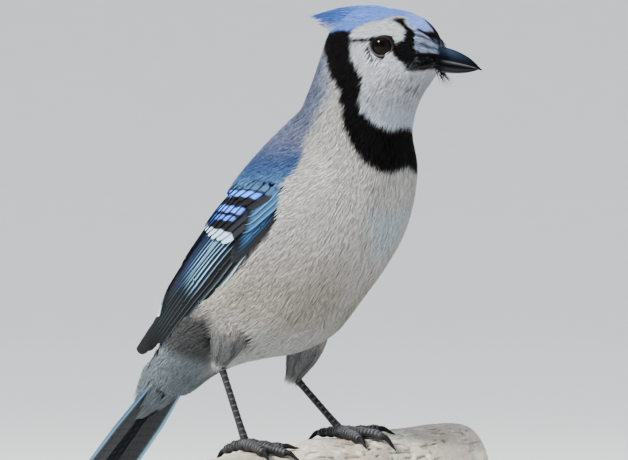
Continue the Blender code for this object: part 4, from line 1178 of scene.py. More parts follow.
def tail():
    pile = Pile()
    for k in range(tailLook["pairs"]):
        for side in (-1, 1):
            level = k * tailLook["step"] + (tailLook["step"] / 2 if side > 0 and k == 0 else 0.0)
            share = k / (tailLook["pairs"] - 1)
            inner = tailLook["innermost"]
            out = side * (inner + (tailLook["outermost"] - inner) * share ** 0.85)
            end = tailLook["end"] - tailLook["shorter"] * share ** 2

            def place(u, w, h):
                s = tailLook["start"] + (end - tailLook["start"]) * u
                across = out * (0.72 + 0.28 * u) + side * w
                return tailAt(s, across, 2.4 - level - 0.022 * np.abs(across) ** 1.5 + h)

            def tintAt(fromRoot, fromTip, w):
                base = blendTo(flood("tailBlue", w.shape), colours["slate"],
                               0.6 * ramp(w, -0.1, -0.6) if k else 0.0 * w)
                tint = barsTint(base, colours["wingBlack"], fromTip, w, *tailLook["bars"])
                tint = blendTo(tint, colours["cyan"], 0.7 * ramp(w, 0.75, 0.92))
                return blendTo(tint, colours["white"], whiteTip(k, fromTip))

            def underTint(fromRoot, fromTip, w):
                dark = colours["slate"] * 0.6
                tint = barsTint(flood("slate", w.shape), dark, fromTip, w, *tailLook["bars"])
                tint = blendTo(tint, colours["cyan"], 0.85 * ramp(w, 0.6, 0.72))
                return blendTo(tint, colours["white"] * 0.8, whiteTip(k, fromTip))

            vane(pile, place, end - tailLook["start"], tailLook["half"], longShape, tintAt, underTint)
    keep(pile.make("tail_feathers", vaneMaterial), "flight_feathers", ("tail",))
    print("tail", sum(len(f) for f in pile.faces), "triangles")


crestLook = {
    # a dense short layer, then long locks that end in separate points behind the head
    "crest_base": {"spacing": 1.05, "from": -0.02, "to": 0.8, "length": 9.0, "width": 2.2, "blades": 6,
                   "rise": 0.1, "ends": None},
    "crest_locks": {"spacing": 1.3, "from": 0.06, "to": 0.9, "length": 15.0, "width": 1.2, "blades": 5,
                    "rise": 0.7, "ends": (-0.12, 0.1)},
    "side": 116,  # degrees from the top of the head down to the lowest roots
    "shortest": 3.5,
}


def crestTint(a, b, lift):
    # like every tint function of the coat it is given the lift as well
    tint = blendTo(flood("crest", np.broadcast_shapes(a.shape, b.shape)), colours["crestDark"],
                   0.85 * ramp(a, 0.25, 0.85))
    return blendTo(tint, colours["crestEdge"], 0.75 * ramp(np.abs(b), math.radians(72), math.radians(100)))


def crest():
    side = math.radians(crestLook["side"])
    crestLength = crestAhead[0] - crestAhead[1]
    for word in ("crest_base", "crest_locks"):
        layer = crestLook[word]
        a, b = scatter(crestAtPoint, layer["from"], layer["to"], -side, side, evenly(layer["spacing"]))
        ends = rng.uniform(*layer["ends"], len(a)) if layer["ends"] else -0.08
        reach = 1.02 - 0.2 * (np.abs(b) / 2.0) ** 1.5 + ends
        length = np.minimum(layer["length"] * rng.uniform(0.8, 1.15, len(a)), (reach - a) * crestLength)
        whole = length > crestLook["shortest"]
        a, b, length = a[whole], b[whole], length[whole]
        look = {"length": length, "width": layer["width"], "depth": 0.8, "rise": layer["rise"],
                "blades": layer["blades"], "thick": 0.1, "tone": 0.12, "bladeTone": 0.16, "ruffle": 0.2,
                "streaks": 0.26, "scatter": 0.05, "loose": 0.1}
        makeCoat(word, crestAtPoint, a, b, look, crestTint,
                 lambda a, b: np.stack([0.5 + 0.1 * b, 0.7 + 0.2 * a], -1), "face_feathers")


tuftLook = {
    "length": 5.0, "width": 0.9, "depth": 0.3, "rise": 0.35, "blades": 5, "thick": 0.07,
    "scatter": 0.12, "turn": 0.12, "tone": 0.1, "bladeTone": 0.3, "streaks": 0.5, "whole": 0.1,
    "loose": 0.12,
}
tuftSpacing = 0.72
tuftShell = {  # a shell over the forehead and the bill's root: millimetres ahead, side, middle, height
    "at": (0.0, 0.3, 0.55, 0.75, 1.0),
    "ahead": (15.0, 19.5, 23.5, 26.5, 30.5),
    "side": (13.7, 13.0, 11.2, 8.7, 5.7),
    "middle": (164.6, 164.2, 163.4, 162.4, 161.0),
    "height": (13.4, 12.8, 9.4, 6.0, 3.8),
}


def nasalTufts():
    # bristly feathers that lie forward from the lores over the nostrils
    for word, side in sides:
        pile = Pile()

        def surface(a, b, lift):
            # a runs forward, b is the angle from the top of the head
            a, b, lift = np.broadcast_arrays(np.asarray(a, float), b, lift)
            ahead, wide, middle, tall = (smoothTable(tuftShell["at"], tuftShell[name], a)
                                         for name in ("ahead", "side", "middle", "height"))
            return onHead(ahead, side * (wide + lift) * np.sin(b), middle + (tall + lift) * np.cos(b))

        def tintAt(a, b, lift):
            points = surface(a, b, 0.0)
            hair = ramp(np.sin(b * 17.0 + 3.0 * a + 2.0 * noise(points, 2.0, 6)), 0.1, 0.9)
            base = blendTo(flood("nasal", hair.shape), colours["black"], 0.7 * hair)
            edge = np.maximum(ramp(a, 0.24, 0.1), ramp(b, 1.08, 0.98))
            return blendTo(base, colours["black"], np.maximum(edge, ramp(b, 1.62, 1.8)))

        a, b = scatter(surface, 0.08, 0.62, 0.95, 2.0, evenly(tuftSpacing))
        growFeathers(pile, surface, a, b, tuftLook, tintAt,
                     lambda a, b: np.stack([0.8 + 0.05 * b, 0.8 + 0.1 * a], -1))
        keep(pile.make(f"nasal_tufts_{word}", coatMaterial), "face_feathers")
    print("nasal tufts")


# Eyes and lids


def eyeMaterial():
    # a wet dark brown eye: brown iris and black pupil under a clear glossy surface
    material, shader = newMaterial("eye_wet_dark_cornea", {
        "Roughness": 0.1, "Specular IOR Level": 0.04, "IOR": 1.25, "Coat Weight": 0.1,
        "Coat Roughness": 0.06,
    })
    flecks = textured(material, "ShaderNodeTexNoise", 0.5, Detail=4.0)
    put(material, tinted(material, flecks.outputs["Fac"], 0.3, 0.7, 0.7, 1.3), shader, "Base Color")
    return material


def lidMaterial():
    # bare dark skin in fine grains, with a paler worn edge
    material, shader = newMaterial("lid_fine_grained_skin", {"Roughness": 0.6, "Specular IOR Level": 0.1})
    grain = textured(material, "ShaderNodeTexVoronoi", 0.3)
    put(material, tinted(material, grain.outputs["Distance"], 0.0, 0.6, 1.15, 0.7), shader, "Base Color")
    bumped(material, shader, grain.outputs["Distance"], 0.06)
    return material


def eyes():
    wet, skinny = eyeMaterial(), lidMaterial()
    for word, side in sides:
        centre = onHead(eyeLook["ahead"], side * eyeLook["out"], eyeLook["up"])
        out = onHead(eyeLook["ahead"], side * (eyeLook["out"] + 1.0), eyeLook["up"]) - centre
        ahead = onHead(eyeLook["ahead"] + 1.0, side * eyeLook["out"], eyeLook["up"]) - centre
        up = np.array([0.0, 0.0, 1.0])
        # ball: rings from the pupil back
        polar = np.linspace(0.02, math.pi - 0.02, 60)[:, None]
        around = np.linspace(0, 2 * math.pi, 72, endpoint=False)[None, :]
        ring = np.cos(around)[..., None] * ahead + np.sin(around)[..., None] * up
        ball = centre + eyeLook["radius"] * (np.cos(polar)[..., None] * out + np.sin(polar)[..., None] * ring)
        points, faces = ringMesh(ball)
        depth = np.degrees(np.arccos(np.clip(unit(points - centre) @ out, -1, 1)))
        bearing = np.arctan2((points - centre) @ up, (points - centre) @ ahead)
        spokes = 0.85 + 0.3 * noise(np.stack([bearing * 6, depth * 0.02, 0 * depth], -1), 0.4, 9)
        tint = linear(eyeLook["iris"])[None] * spokes[:, None]
        tint = blendTo(tint, linear(eyeLook["pupil"]), ramp(depth, 30, 26))
        tint = blendTo(tint, linear(eyeLook["rim"]), ramp(depth, 48, 56))
        keep(meshObject(f"eyeball_{word}", points, faces, wet, tint), "eye", (f"eye_{word}",))
        # lids: a rim that hugs the ball round an oval opening and runs out under the feathers
        turn = np.linspace(0, 2 * math.pi, 96, endpoint=False)
        wide, tall = eyeLook["opening"]
        inner = 1 / np.sqrt((np.cos(turn) / wide) ** 2 + (np.sin(turn) / tall) ** 2)
        section = ((0.0, -0.5), (0.0, 0.05), (0.12, 0.3), (0.4, 0.42), (0.75, 0.3), (1.1, -0.1), (1.6, -0.5),
                   (2.3, -1.0), (2.3, -2.2), (0.8, -2.0))
        rows = []
        for reach, high in section:
            radius = inner + reach
            hug = np.sqrt(np.maximum(eyeLook["radius"] ** 2 - np.minimum(inner + reach * 0.4, 4.9) ** 2, 0.1))
            crease = 0.07 * np.sin(turn * eyeLook["creases"]) * (0.2 < reach < 1.4)
            rows.append(centre + (hug + high + crease)[:, None] * out
                        + (radius * np.cos(turn))[:, None] * ahead + (radius * np.sin(turn))[:, None] * up)
        ring = np.array(rows).transpose(1, 0, 2)
        count, sidesOf = ring.shape[:2]
        i, j = np.meshgrid(np.arange(count), np.arange(sidesOf), indexing="ij")
        quads = np.stack([i * sidesOf + j, i * sidesOf + (j + 1) % sidesOf,
                          (i + 1) % count * sidesOf + (j + 1) % sidesOf, (i + 1) % count * sidesOf + j], -1)
        quads = quads.reshape(-1, 4)
        points = ring.reshape(-1, 3)
        if volumeOf(points, quads) < 0:
            quads = quads[:, ::-1]
        low = np.broadcast_to(np.sin(turn)[:, None], ring.shape[:2])
        which = np.broadcast_to(np.arange(sidesOf)[None, :], ring.shape[:2])
        rim = ramp(-low, -0.2, 0.6) * ((which > 1) & (which < 5))
        tint = blendTo(np.broadcast_to(linear(eyeLook["lid"]), ring.shape), linear(eyeLook["lidEdge"]),
                       0.6 * rim)
        keep(meshObject(f"lids_{word}", points, quads, skinny, tint.reshape(-1, 3)), "face_feathers")
    print("eyes and lids")


# Bill


billLook = {  # distances in millimetres from the root to the tip, heights over the mouth's line
    "root": 71.9,
    "tip": (88.8, 155.2),
    "mouthBack": (66.0, 158.6),
    "at": (-0.13, 0.0, 0.2, 0.35, 0.5, 0.68, 0.87, 1.0),
    "upper": (7.0, 6.9, 6.5, 6.0, 5.2, 3.9, 1.8, 0.3),
    "lower": (3.5, 3.5, 3.4, 3.2, 2.8, 2.2, 1.2, 0.3),
    "halfWidth": (5.0, 4.9, 4.4, 3.8, 3.0, 2.1, 1.0, 0.28),
    "lowerShorter": 1.4,
    "lowerNarrower": 0.93,
    "closing": 0.12,  # how far the upper bill's edge closes over the lower bill
    "horn": "#08090c",
    # painted sheen: the bluish grey of the lit top of the bill
    "paintedSheen": "#1c2a3c",
    # painted highlight: the pale line along the mouth's edge
    "edge": "#73787e",
    "ends": "#101216",
}


def hornMaterial():
    # polished black horn: fine lengthwise growth lines, under the painted bluish sheen that the bill's
    # colours carry
    material, shader = newMaterial("bill_polished_horn", {"Specular IOR Level": 0.1, "IOR": 1.22})
    lines = textured(material, "ShaderNodeTexNoise", 0.7, stretch=(0.25, 0.25, 1.6), Detail=4.0)
    put(material, tinted(material, lines.outputs["Fac"], 0.3, 0.7, 0.8, 1.25), shader, "Base Color")
    put(material, curve(material, lines.outputs["Fac"], 0.3, 0.7, 0.3, 0.45), shader, "Roughness")
    bumped(material, shader, lines.outputs["Fac"], 0.05)
    return material


def bill(material):
    for upper in (True, False):
        count = 44  # points over the outside of a section
        (tipX, tipHeight), (backX, backHeight) = billLook["tip"], billLook["mouthBack"]
        endX = tipX - (0.0 if upper else billLook["lowerShorter"])
        u = np.sort(np.concatenate([np.linspace(-0.14, 1.0, 64), [0.985, 0.995]]))
        x = billLook["root"] + (endX - billLook["root"]) * u
        run = (x - backX) / (tipX - backX)
        hook = 0.35 * ramp(u, 0.8, 1.0) if upper else 0.0
        mouth = backHeight + (tipHeight - backHeight) * run - hook
        half = smoothTable(billLook["at"], billLook["halfWidth"], u) \
            * (1.0 if upper else billLook["lowerNarrower"])
        tall = smoothTable(billLook["at"], billLook["upper" if upper else "lower"], u)
        face = 1 if upper else -1
        a = np.linspace(-math.pi / 2, math.pi / 2, count)
        across = half[:, None] * np.sign(np.sin(a)) * np.abs(np.sin(a)) ** 0.9
        ridge = 0.25 * np.exp(-(a / 0.2) ** 2) * face
        flare = 0.05 * np.exp(-((np.abs(a) - 1.35) / 0.12) ** 2)
        shelf = mouth + (-billLook["closing"] if upper else 0.05)
        high = shelf[:, None] + face * tall[:, None] * np.abs(np.cos(a)) ** 0.85 \
            + ridge * np.clip(tall / 4, 0, 1)[:, None]
        across = across * (1 + flare)
        inner = np.linspace(1, -1, 9)[1:-1]
        acrossIn = half[:, None] * inner[None, :]
        highIn = np.broadcast_to(shelf[:, None], acrossIn.shape)
        across, high = np.concatenate([across, acrossIn], 1), np.concatenate([high, highIn], 1)
        rings = turned(np.broadcast_to(x[:, None], across.shape), high, headTurn, across)
        points, faces = ringMesh(rings)
        # painted sheen: bluish grey over the ridge of the upper bill and faintly under the lower bill, fading
        # towards the tip
        top = ramp(np.cos(a), 0.2, 0.8)
        paintedSheen = np.zeros(across.shape)
        paintedSheen[:, :count] = top[None, :] * ramp(u, 0.85, 0.2)[:, None]
        tint = blendTo(np.broadcast_to(linear(billLook["horn"]), rings.shape), linear(billLook["paintedSheen"]),
                       (0.75 if upper else 0.2) * paintedSheen)
        # painted highlight: a pale line along the upper bill's cutting edge and a faint band on the lower
        # bill's side
        edge = np.zeros(across.shape)
        highlightTurn, highlightWidth = (1.43, 0.05) if upper else (1.0, 0.2)
        near = np.exp(-((np.abs(a) - highlightTurn) / highlightWidth) ** 2)
        edge[:, :count] = near[None, :] * (ramp(u, 0.0, 0.2) * ramp(u, 0.98, 0.8))[:, None]
        tint = blendTo(tint, linear(billLook["edge"]), (0.4 if upper else 0.08) * edge)
        tint = np.concatenate([tint.reshape(-1, 3), np.broadcast_to(linear(billLook["ends"]), (2, 3))])
        name = "bill_upper" if upper else "bill_lower"
        keep(meshObject(name + "_horn", points, faces, material, tint, crease=60), "horn", (name,))
    print("bill")


def tubeMesh(line, radius, count, shapeAt=None):
    # a closed tube of changing radius; shapeAt(row share, angle) multiplies the radius
    line, radius = np.asarray(line, float), np.asarray(radius, float)
    along = unit(np.gradient(line, axis=0))
    side = unit(np.cross(along, (0.0, 0.0, 1.0)) + 1e-6)
    front = unit(np.cross(side, along))
    turn = np.linspace(0, 2 * math.pi, count, endpoint=False)
    scale = radius[:, None] * np.ones(count)
    if shapeAt is not None:
        scale = scale * shapeAt(np.linspace(0, 1, len(line))[:, None], turn[None, :])
    rings = line[:, None, :] + scale[..., None] * (np.cos(turn)[None, :, None] * front[:, None, :]
                                                    + np.sin(turn)[None, :, None] * side[:, None, :])
    return ringMesh(rings)


def spline(knots, rows):
    knots = np.asarray(knots, float)
    at = np.arange(len(knots))
    return smoothTable(at, knots, np.linspace(0, len(knots) - 1, rows))


def faceSpot(x, y, side, out):
    # the point of the head's side that the photo shows at a pixel
    t, angle = np.meshgrid(np.linspace(14, bodyEnd, 220), np.linspace(-math.pi + 0.05, -0.05, 160),
                           indexing="ij")
    points = bodyAt(t, angle, 0.0)
    away = np.hypot(*(photoPlace(points) - (x, y)).reshape(-1, 2).T).reshape(t.shape)
    away = away - 0.02 * (points @ viewBack)
    i = np.unravel_index(np.argmin(away), away.shape)
    return bodyAt(t[i], angle[i] if side < 0 else -angle[i], out)


gapeLine = ((405.5, 72.0), (412, 70.3), (421, 68.2), (430, 66.4), (441, 65.4))  # in the photo's pixels
bristleLook = {"count": 46, "length": (4.0, 7.5), "radius": 0.085, "bow": 1.2, "colour": "#131316"}


def mouthAndBristles(material):
    # the corner of the mouth behind the bill, and the fine dark bristles of the chin
    for word, side in sides:
        knots = [faceSpot(x, y, side, 0.15) for x, y in gapeLine]
        line = spline(knots, 28)
        points, faces = tubeMesh(line, 0.42 * np.sin(np.linspace(0.25, math.pi - 0.25, 28)) ** 0.5, 10)
        keep(meshObject(f"mouth_line_{word}", points, faces, material,
                        np.broadcast_to(linear("#1a1a1c"), points.shape)), "horn")
    bristles = []
    rng.uniform(size=bristleLook["count"])  # passed over, so that each bristle stays where it is
    for n in range(bristleLook["count"]):
        side = -1 if n % 2 else 1
        root = onHead(24.5 + 2.0 * rng.uniform(), side * rng.uniform(0.6, 5.0), 154.2 + rng.uniform(0.0, 2.0))
        reach = rng.uniform(*bristleLook["length"])
        ahead = onHead(1.0, 0.0, 0.0) - onHead(0.0, 0.0, 0.0)
        out = onHead(0.0, side * 1.0, 0.0) - onHead(0.0, 0.0, 0.0)
        way = ahead * rng.uniform(0.2, 1.0) + out * rng.uniform(0.0, 0.6)
        way = unit(way + np.array([0, 0, -rng.uniform(0.5, 1.0)]))
        bow = np.array([0.0, 0.0, -bristleLook["bow"]])
        u = np.linspace(0, 1, 9)[:, None]
        line = root + way * reach * u + bow * u ** 2
        bristles.append(tubeMesh(line, bristleLook["radius"] * (1.02 - u[:, 0]) ** 0.7 + 0.01, 5))
    points, faces = joined(bristles)
    tint = np.broadcast_to(linear(bristleLook["colour"]), points.shape)
    keep(meshObject("chin_bristles", points, faces, material, tint), "face_feathers")
    print("mouth and bristles")


# Legs and feet


perchLook = {
    "length": 150.0,
    "halfWidth": 29.0,
    "halfHeight": 20.0,
    "squareness": 2.5,
    "heading": math.radians(69.5),
    "rise": math.radians(7.0),
    "relief": 0.9,
    "rows": 300,
    "around": 220,
    "grain": (0.35, 26.0),  # how the bark's furrows are drawn out along the branch, and its radius
    "ridge": "#918b81",
    "furrow": "#6a6055",
    "bleached": "#b0aca2",
    "cutWood": "#b99a6e",
    "cutRings": "#8c6c45",
    "cutEdge": "#5a4636",
}
perchHeading, perchRise = perchLook["heading"], perchLook["rise"]
perchAlong = np.array([math.cos(perchHeading) * math.cos(perchRise),
                       math.sin(perchHeading) * math.cos(perchRise), math.sin(perchRise)])
perchFront = np.array([math.sin(perchHeading), -math.cos(perchHeading), 0.0])
perchUp = np.cross(perchFront, perchAlong)


def perchAtPoint(a, angle, lift=0.0):
    a, angle, lift = np.broadcast_arrays(np.asarray(a, float), angle, lift)
    c, s = rounded(angle, perchLook["squareness"])
    wave = np.sin(a * 0.11 + 2.0 * np.sin(angle)) * np.cos(2 * angle + a * 0.05)
    grow = lift + perchLook["relief"] * (wave + 0.5 * np.sin(a * 0.21 + 3 * angle))
    middle = a[..., None] * perchAlong - perchUp * perchLook["halfHeight"]
    return middle + (c * (perchLook["halfHeight"] + grow))[..., None] * perchUp \
        + (s * (perchLook["halfWidth"] + grow))[..., None] * perchFront


arcAngles = np.linspace(0, math.pi, 400)
arcPoints = np.stack(rounded(arcAngles, perchLook["squareness"]), -1) \
    * (perchLook["halfHeight"], perchLook["halfWidth"])
arcLengths = np.concatenate([[0.0], np.cumsum(np.linalg.norm(np.diff(arcPoints, axis=0), axis=1))])


def walk(foot, heading, distance, lift):
    # a point above the branch, this far from the foot along a heading
    flat = unit(perchAlong[:2])
    way = np.array([math.cos(heading), math.sin(heading)])
    a = foot @ flat + way @ flat * distance
    arc = foot @ perchFront[:2] + way @ perchFront[:2] * distance
    return perchAtPoint(a, math.copysign(np.interp(abs(arc), arcLengths, arcAngles), arc), lift)


legLook = {
    "tarsusRadii": (2.2, 1.7, 1.45, 1.6, 1.9),
    # each toe's heading in degrees, length and claw's length
    "toes": ((-24.0, 15.0, 7.0), (3.0, 20.0, 8.0), (30.0, 15.5, 7.0), (177.0, 12.0, 9.0)),
    "toeRadius": (2.35, 1.6),
    "scute": 2.6,  # millimetres between the plates along the front of the leg
    "toeScute": 1.7,
    "gap": 0.3,  # between claw and bark
    "plate": "#17181b",
    "seam": "#6d7176",
    "behind": "#5c5f64",
    "claw": "#18181b",
}


def legMaterial():
    # dark horny plates with dry pale seams, dull with a low sheen on the plates
    material, shader = newMaterial("leg_scaled_skin", {"Specular IOR Level": 0.15})
    grain = textured(material, "ShaderNodeTexNoise", 0.6, Detail=3.0)
    put(material, tinted(material, grain.outputs["Fac"], 0.3, 0.7, 0.75, 1.3), shader, "Base Color")
    put(material, curve(material, grain.outputs["Fac"], 0.3, 0.7, 0.42, 0.62), shader, "Roughness")
    bumped(material, shader, grain.outputs["Fac"], 0.06)
    return material


def scaly(line, radius, period):
    # a limb with overlapping plates on its front and small scales behind
    count = 28  # points round it
    length = np.linalg.norm(np.diff(line, axis=0), axis=1).sum()
    rows = len(line)

    def plate(share, turn):
        phase = (share * length / period) % 1.0
        step = 0.10 * (phase ** 1.5) - 0.05
        small = 0.03 * np.sin(share * length * 7.0 + 3 * np.sin(turn * 4)) * np.cos(turn * 8)
        front = ramp(np.cos(turn), -0.3, 0.2)
        return 1 + front * step + (1 - front) * small

    points, faces = tubeMesh(line, radius, count, plate)
    share = np.repeat(np.linspace(0, 1, rows), count)
    turn = np.tile(np.linspace(0, 2 * math.pi, count, endpoint=False), rows)
    phase = (share * length / period) % 1.0
    seam = ramp(np.abs(phase - 0.5), 0.4, 0.48) * ramp(np.cos(turn), -0.3, 0.2)
    tint = blendTo(np.broadcast_to(linear(legLook["plate"]), (len(share), 3)), linear(legLook["seam"]),
                   0.6 * seam)
    scales = ramp(np.sin(share * length * 7.0 + 3 * np.sin(turn * 4)), 0.3, 0.9)
    tint = blendTo(tint, linear(legLook["behind"]), 0.25 * ramp(np.cos(turn), 0.0, -0.5) * scales)
    tint = np.concatenate([tint, tint[:1], tint[-1:]])
    return points, faces, tint


def legs(skinny, horn):
    for k, (word, _) in enumerate(sides):
        foot, heel = feet[k], heels[k]
        ball = walk(foot, 0.0, 0.0, 2.9)
        down = unit(ball - heel)
        top = heel - down * 1.5
        u = np.linspace(0, 1, 110)
        line = top + (ball - top) * u[:, None]
        radius = smoothTable((0.0, 0.12, 0.5, 0.85, 1.0), legLook["tarsusRadii"], u)
        points, faces, tint = scaly(line, radius, legLook["scute"])
        tarsus = meshObject(f"tarsus_{word}_scutes", points, faces, skinny, tint)
        keep(tarsus, "leg_skin", (f"tarsus_{word}",))
        toes, toeTints = [], []
        for n, (heading, length, clawLength) in enumerate(legLook["toes"]):
            heading = math.radians(heading)
            knots, radii = [ball], [legLook["toeRadius"][0] * 1.25]
            for v in np.linspace(0, 1, 13)[1:]:
                r = legLook["toeRadius"][0] + (legLook["toeRadius"][1] - legLook["toeRadius"][0]) * v
                swell = 1 + 0.2 * math.sin(v * math.pi * (3 if n else 2)) ** 2  # a pad under each joint
                knots.append(walk(foot, heading, length * v, r * 1.12 + 0.35))
                radii.append(r * swell)
            radii[-1] *= 0.86
            rows = int(length * 4.5)
            toe = spline(knots, rows)
            width = smoothTable(np.arange(len(radii)), radii, np.linspace(0, len(radii) - 1, rows))
            points, faces, tint = scaly(toe, width, legLook["toeScute"])
            toes.append((points, faces))
            toeTints.append(tint)
            nail, nailRadii = [], []
            for v in np.linspace(0, 1, 24):
                arch = 1.6 * math.sin(math.pi * min(v * 1.15, 1.0)) * (1 - v)
                height = (1.45 + 1.3 * legLook["gap"] + arch) * (1 - v) + 1.8 * legLook["gap"] * v
                nail.append(walk(foot, heading, length - 0.6 + (0.82 * clawLength + 1.5) * v, height))
                nailRadii.append(1.25 * (1 - v) ** 0.8 + 0.12)
            points, faces = tubeMesh(nail, nailRadii, 20, lambda share, turn: 1 + 0.12 * np.cos(turn))
            tint = np.broadcast_to(linear(legLook["claw"]), points.shape)
            keep(meshObject(f"claw_{word}_{n + 1}_horn", points, faces, horn, tint), "horn",
                 (f"claw_{word}_{n + 1}",))
        foot = meshObject(f"toes_{word}", *joined(toes), skinny, np.concatenate(toeTints))
        keep(foot, "leg_skin", (f"foot_{word}",))
    print("legs")


# Branch


def barkMaterial():
    # weathered bark: bleached grey ridges, darker furrows and a dry lichen bloom
    material, shader = newMaterial("branch_weathered_bark", {"Roughness": 0.9})
    grain = textured(material, "ShaderNodeTexNoise", 1.4, Detail=6.0, Roughness=0.65)
    base = tinted(material, grain.outputs["Fac"], 0.3, 0.7, 0.72, 1.2)
    spots = textured(material, "ShaderNodeTexNoise", 7.0, Detail=5.0, Roughness=0.6)
    lichen = curve(material, spots.outputs["Fac"], 0.56, 0.64, 0.0, 0.6)
    base = mixColours(material, lichen, base, linear("#c9cdbd"))
    put(material, base, shader, "Base Color")
    bumped(material, shader, grain.outputs["Fac"], 0.35)
    return material


def perch():
    rows, count = perchLook["rows"], perchLook["around"]
    a = np.linspace(-perchLook["length"] / 2, perchLook["length"] / 2, rows)
    turn = np.linspace(0, 2 * math.pi, count, endpoint=False)
    a2, turn2 = np.meshgrid(a, turn, indexing="ij")
    flat = perchAtPoint(a2, turn2, 0.0)
    stretch, radius = perchLook["grain"]
    grain = np.stack([a2 * stretch, np.cos(turn2) * radius, np.sin(turn2) * radius], -1)
    furrow = np.abs(noise(grain, 3.2, 1)) + 0.5 * np.abs(noise(grain, 1.4, 2))
    lift = -0.15 - 1.0 * ramp(furrow, 0.28, 0.0) - 0.35 * noise(flat, 2.0, 3) * 0.5
    lift = np.minimum(lift, -0.02) * ramp(perchLook["length"] / 2 - np.abs(a2), -1, 2)
    outer = perchAtPoint(a2, turn2, lift)
    tint = blendTo(np.broadcast_to(linear(perchLook["ridge"]), outer.shape), linear(perchLook["furrow"]),
                   ramp(furrow, 0.3, 0.05))
    tint = blendTo(tint, linear(perchLook["bleached"]), 0.6 * ramp(noise(flat, 16.0, 6), 0.0, 0.5))
    ends, endTints = [], []
    for which in (0, -1):
        for share in np.linspace(0.985, 0.04, 16):
            centre = outer[which].mean(0)
            ring = centre + (outer[which] - centre) * share
            ring = ring + perchAlong * (-1 if which == 0 else 1) * 0.25 * noise(ring, 2.0, 7)[:, None]
            ends.append(ring)
            rings = 0.5 + 0.5 * np.sin(share * 70 + 2.0 * noise(ring, 9.0, 5))
            colour = blendTo(np.broadcast_to(linear(perchLook["cutWood"]), ring.shape),
                             linear(perchLook["cutRings"]), rings)
            edge = ramp(np.full(count, share), 0.9, 0.96)
            endTints.append(blendTo(colour, linear(perchLook["cutEdge"]), edge))
    first, last = np.array(ends[:16])[::-1], np.array(ends[16:])
    rings = np.concatenate([first, outer, last])
    tints = np.concatenate([np.array(endTints[:16])[::-1], tint, np.array(endTints[16:])])
    points, faces = ringMesh(rings)
    tints = np.concatenate([tints.reshape(-1, 3), tints[0, :1], tints[-1, :1]])
    keep(meshObject("branch_bark", points, faces, barkMaterial(), tints, crease=50), "bark", ("perch",))
    print("branch", len(faces), "triangles")


# Stand


standLook = {
    "centre": (-8.0, 0.0),
    "size": (130.0, 150.0, 12.0),
    "corner": 26.0,
    "edge": 1.6,
    "rod": 3.0,
    "spacing": 62.0,
    "socket": 8.0,  # how deep a rod goes into the base and the branch
}


def woodMaterial():
    # oiled dark walnut: long grain, open pores and a satin finish
    material, shader = newMaterial("base_oiled_walnut")
    grain = textured(material, "ShaderNodeTexNoise", 9.0, stretch=(1.0, 0.07, 1.0), Detail=7.0,
                     Distortion=0.6)
    pores = textured(material, "ShaderNodeTexNoise", 0.7, stretch=(1.0, 0.05, 1.0), Detail=2.0)
    base = mixColours(material, curve(material, grain.outputs["Fac"], 0.35, 0.65), linear("#3a2417"),
                      linear("#6a4529"))
    base = mixColours(material, curve(material, pores.outputs["Fac"], 0.56, 0.66, 0.0, 0.6), base,
                      linear("#1d120b"))
    put(material, base, shader, "Base Color")
    put(material, curve(material, pores.outputs["Fac"], 0.4, 0.65, 0.38, 0.6), shader, "Roughness")
    bumped(material, shader, pores.outputs["Fac"], 0.08)
    return material


def steelMaterial():
    # brushed steel: fine scratches round the rod that stretch the highlight
    material, shader = newMaterial("rod_brushed_steel", {"Metallic": 1.0})
    lines = textured(material, "ShaderNodeTexNoise", 0.25, stretch=(0.05, 0.05, 1.0), Detail=3.0)
    tone = mixColours(material, lines.outputs["Fac"], linear("#8f9093"), linear("#b9babc"))
    put(material, tone, shader, "Base Color")
    put(material, curve(material, lines.outputs["Fac"], 0.3, 0.7, 0.26, 0.42), shader, "Roughness")
    bumped(material, shader, lines.outputs["Fac"], 0.02)
    return material


def pickEdges(thing, wanted):
    # goes into edit mode with only the wanted edges selected
    bpy.context.tool_settings.mesh_select_mode = (False, True, False)
    bpy.ops.object.mode_set(mode="EDIT")
    bpy.ops.mesh.select_all(action="DESELECT")
    bpy.ops.object.mode_set(mode="OBJECT")
    for edge in thing.data.edges:
        edge.select = wanted(*(thing.data.vertices[i].co for i in edge.vertices))
    bpy.ops.object.mode_set(mode="EDIT")


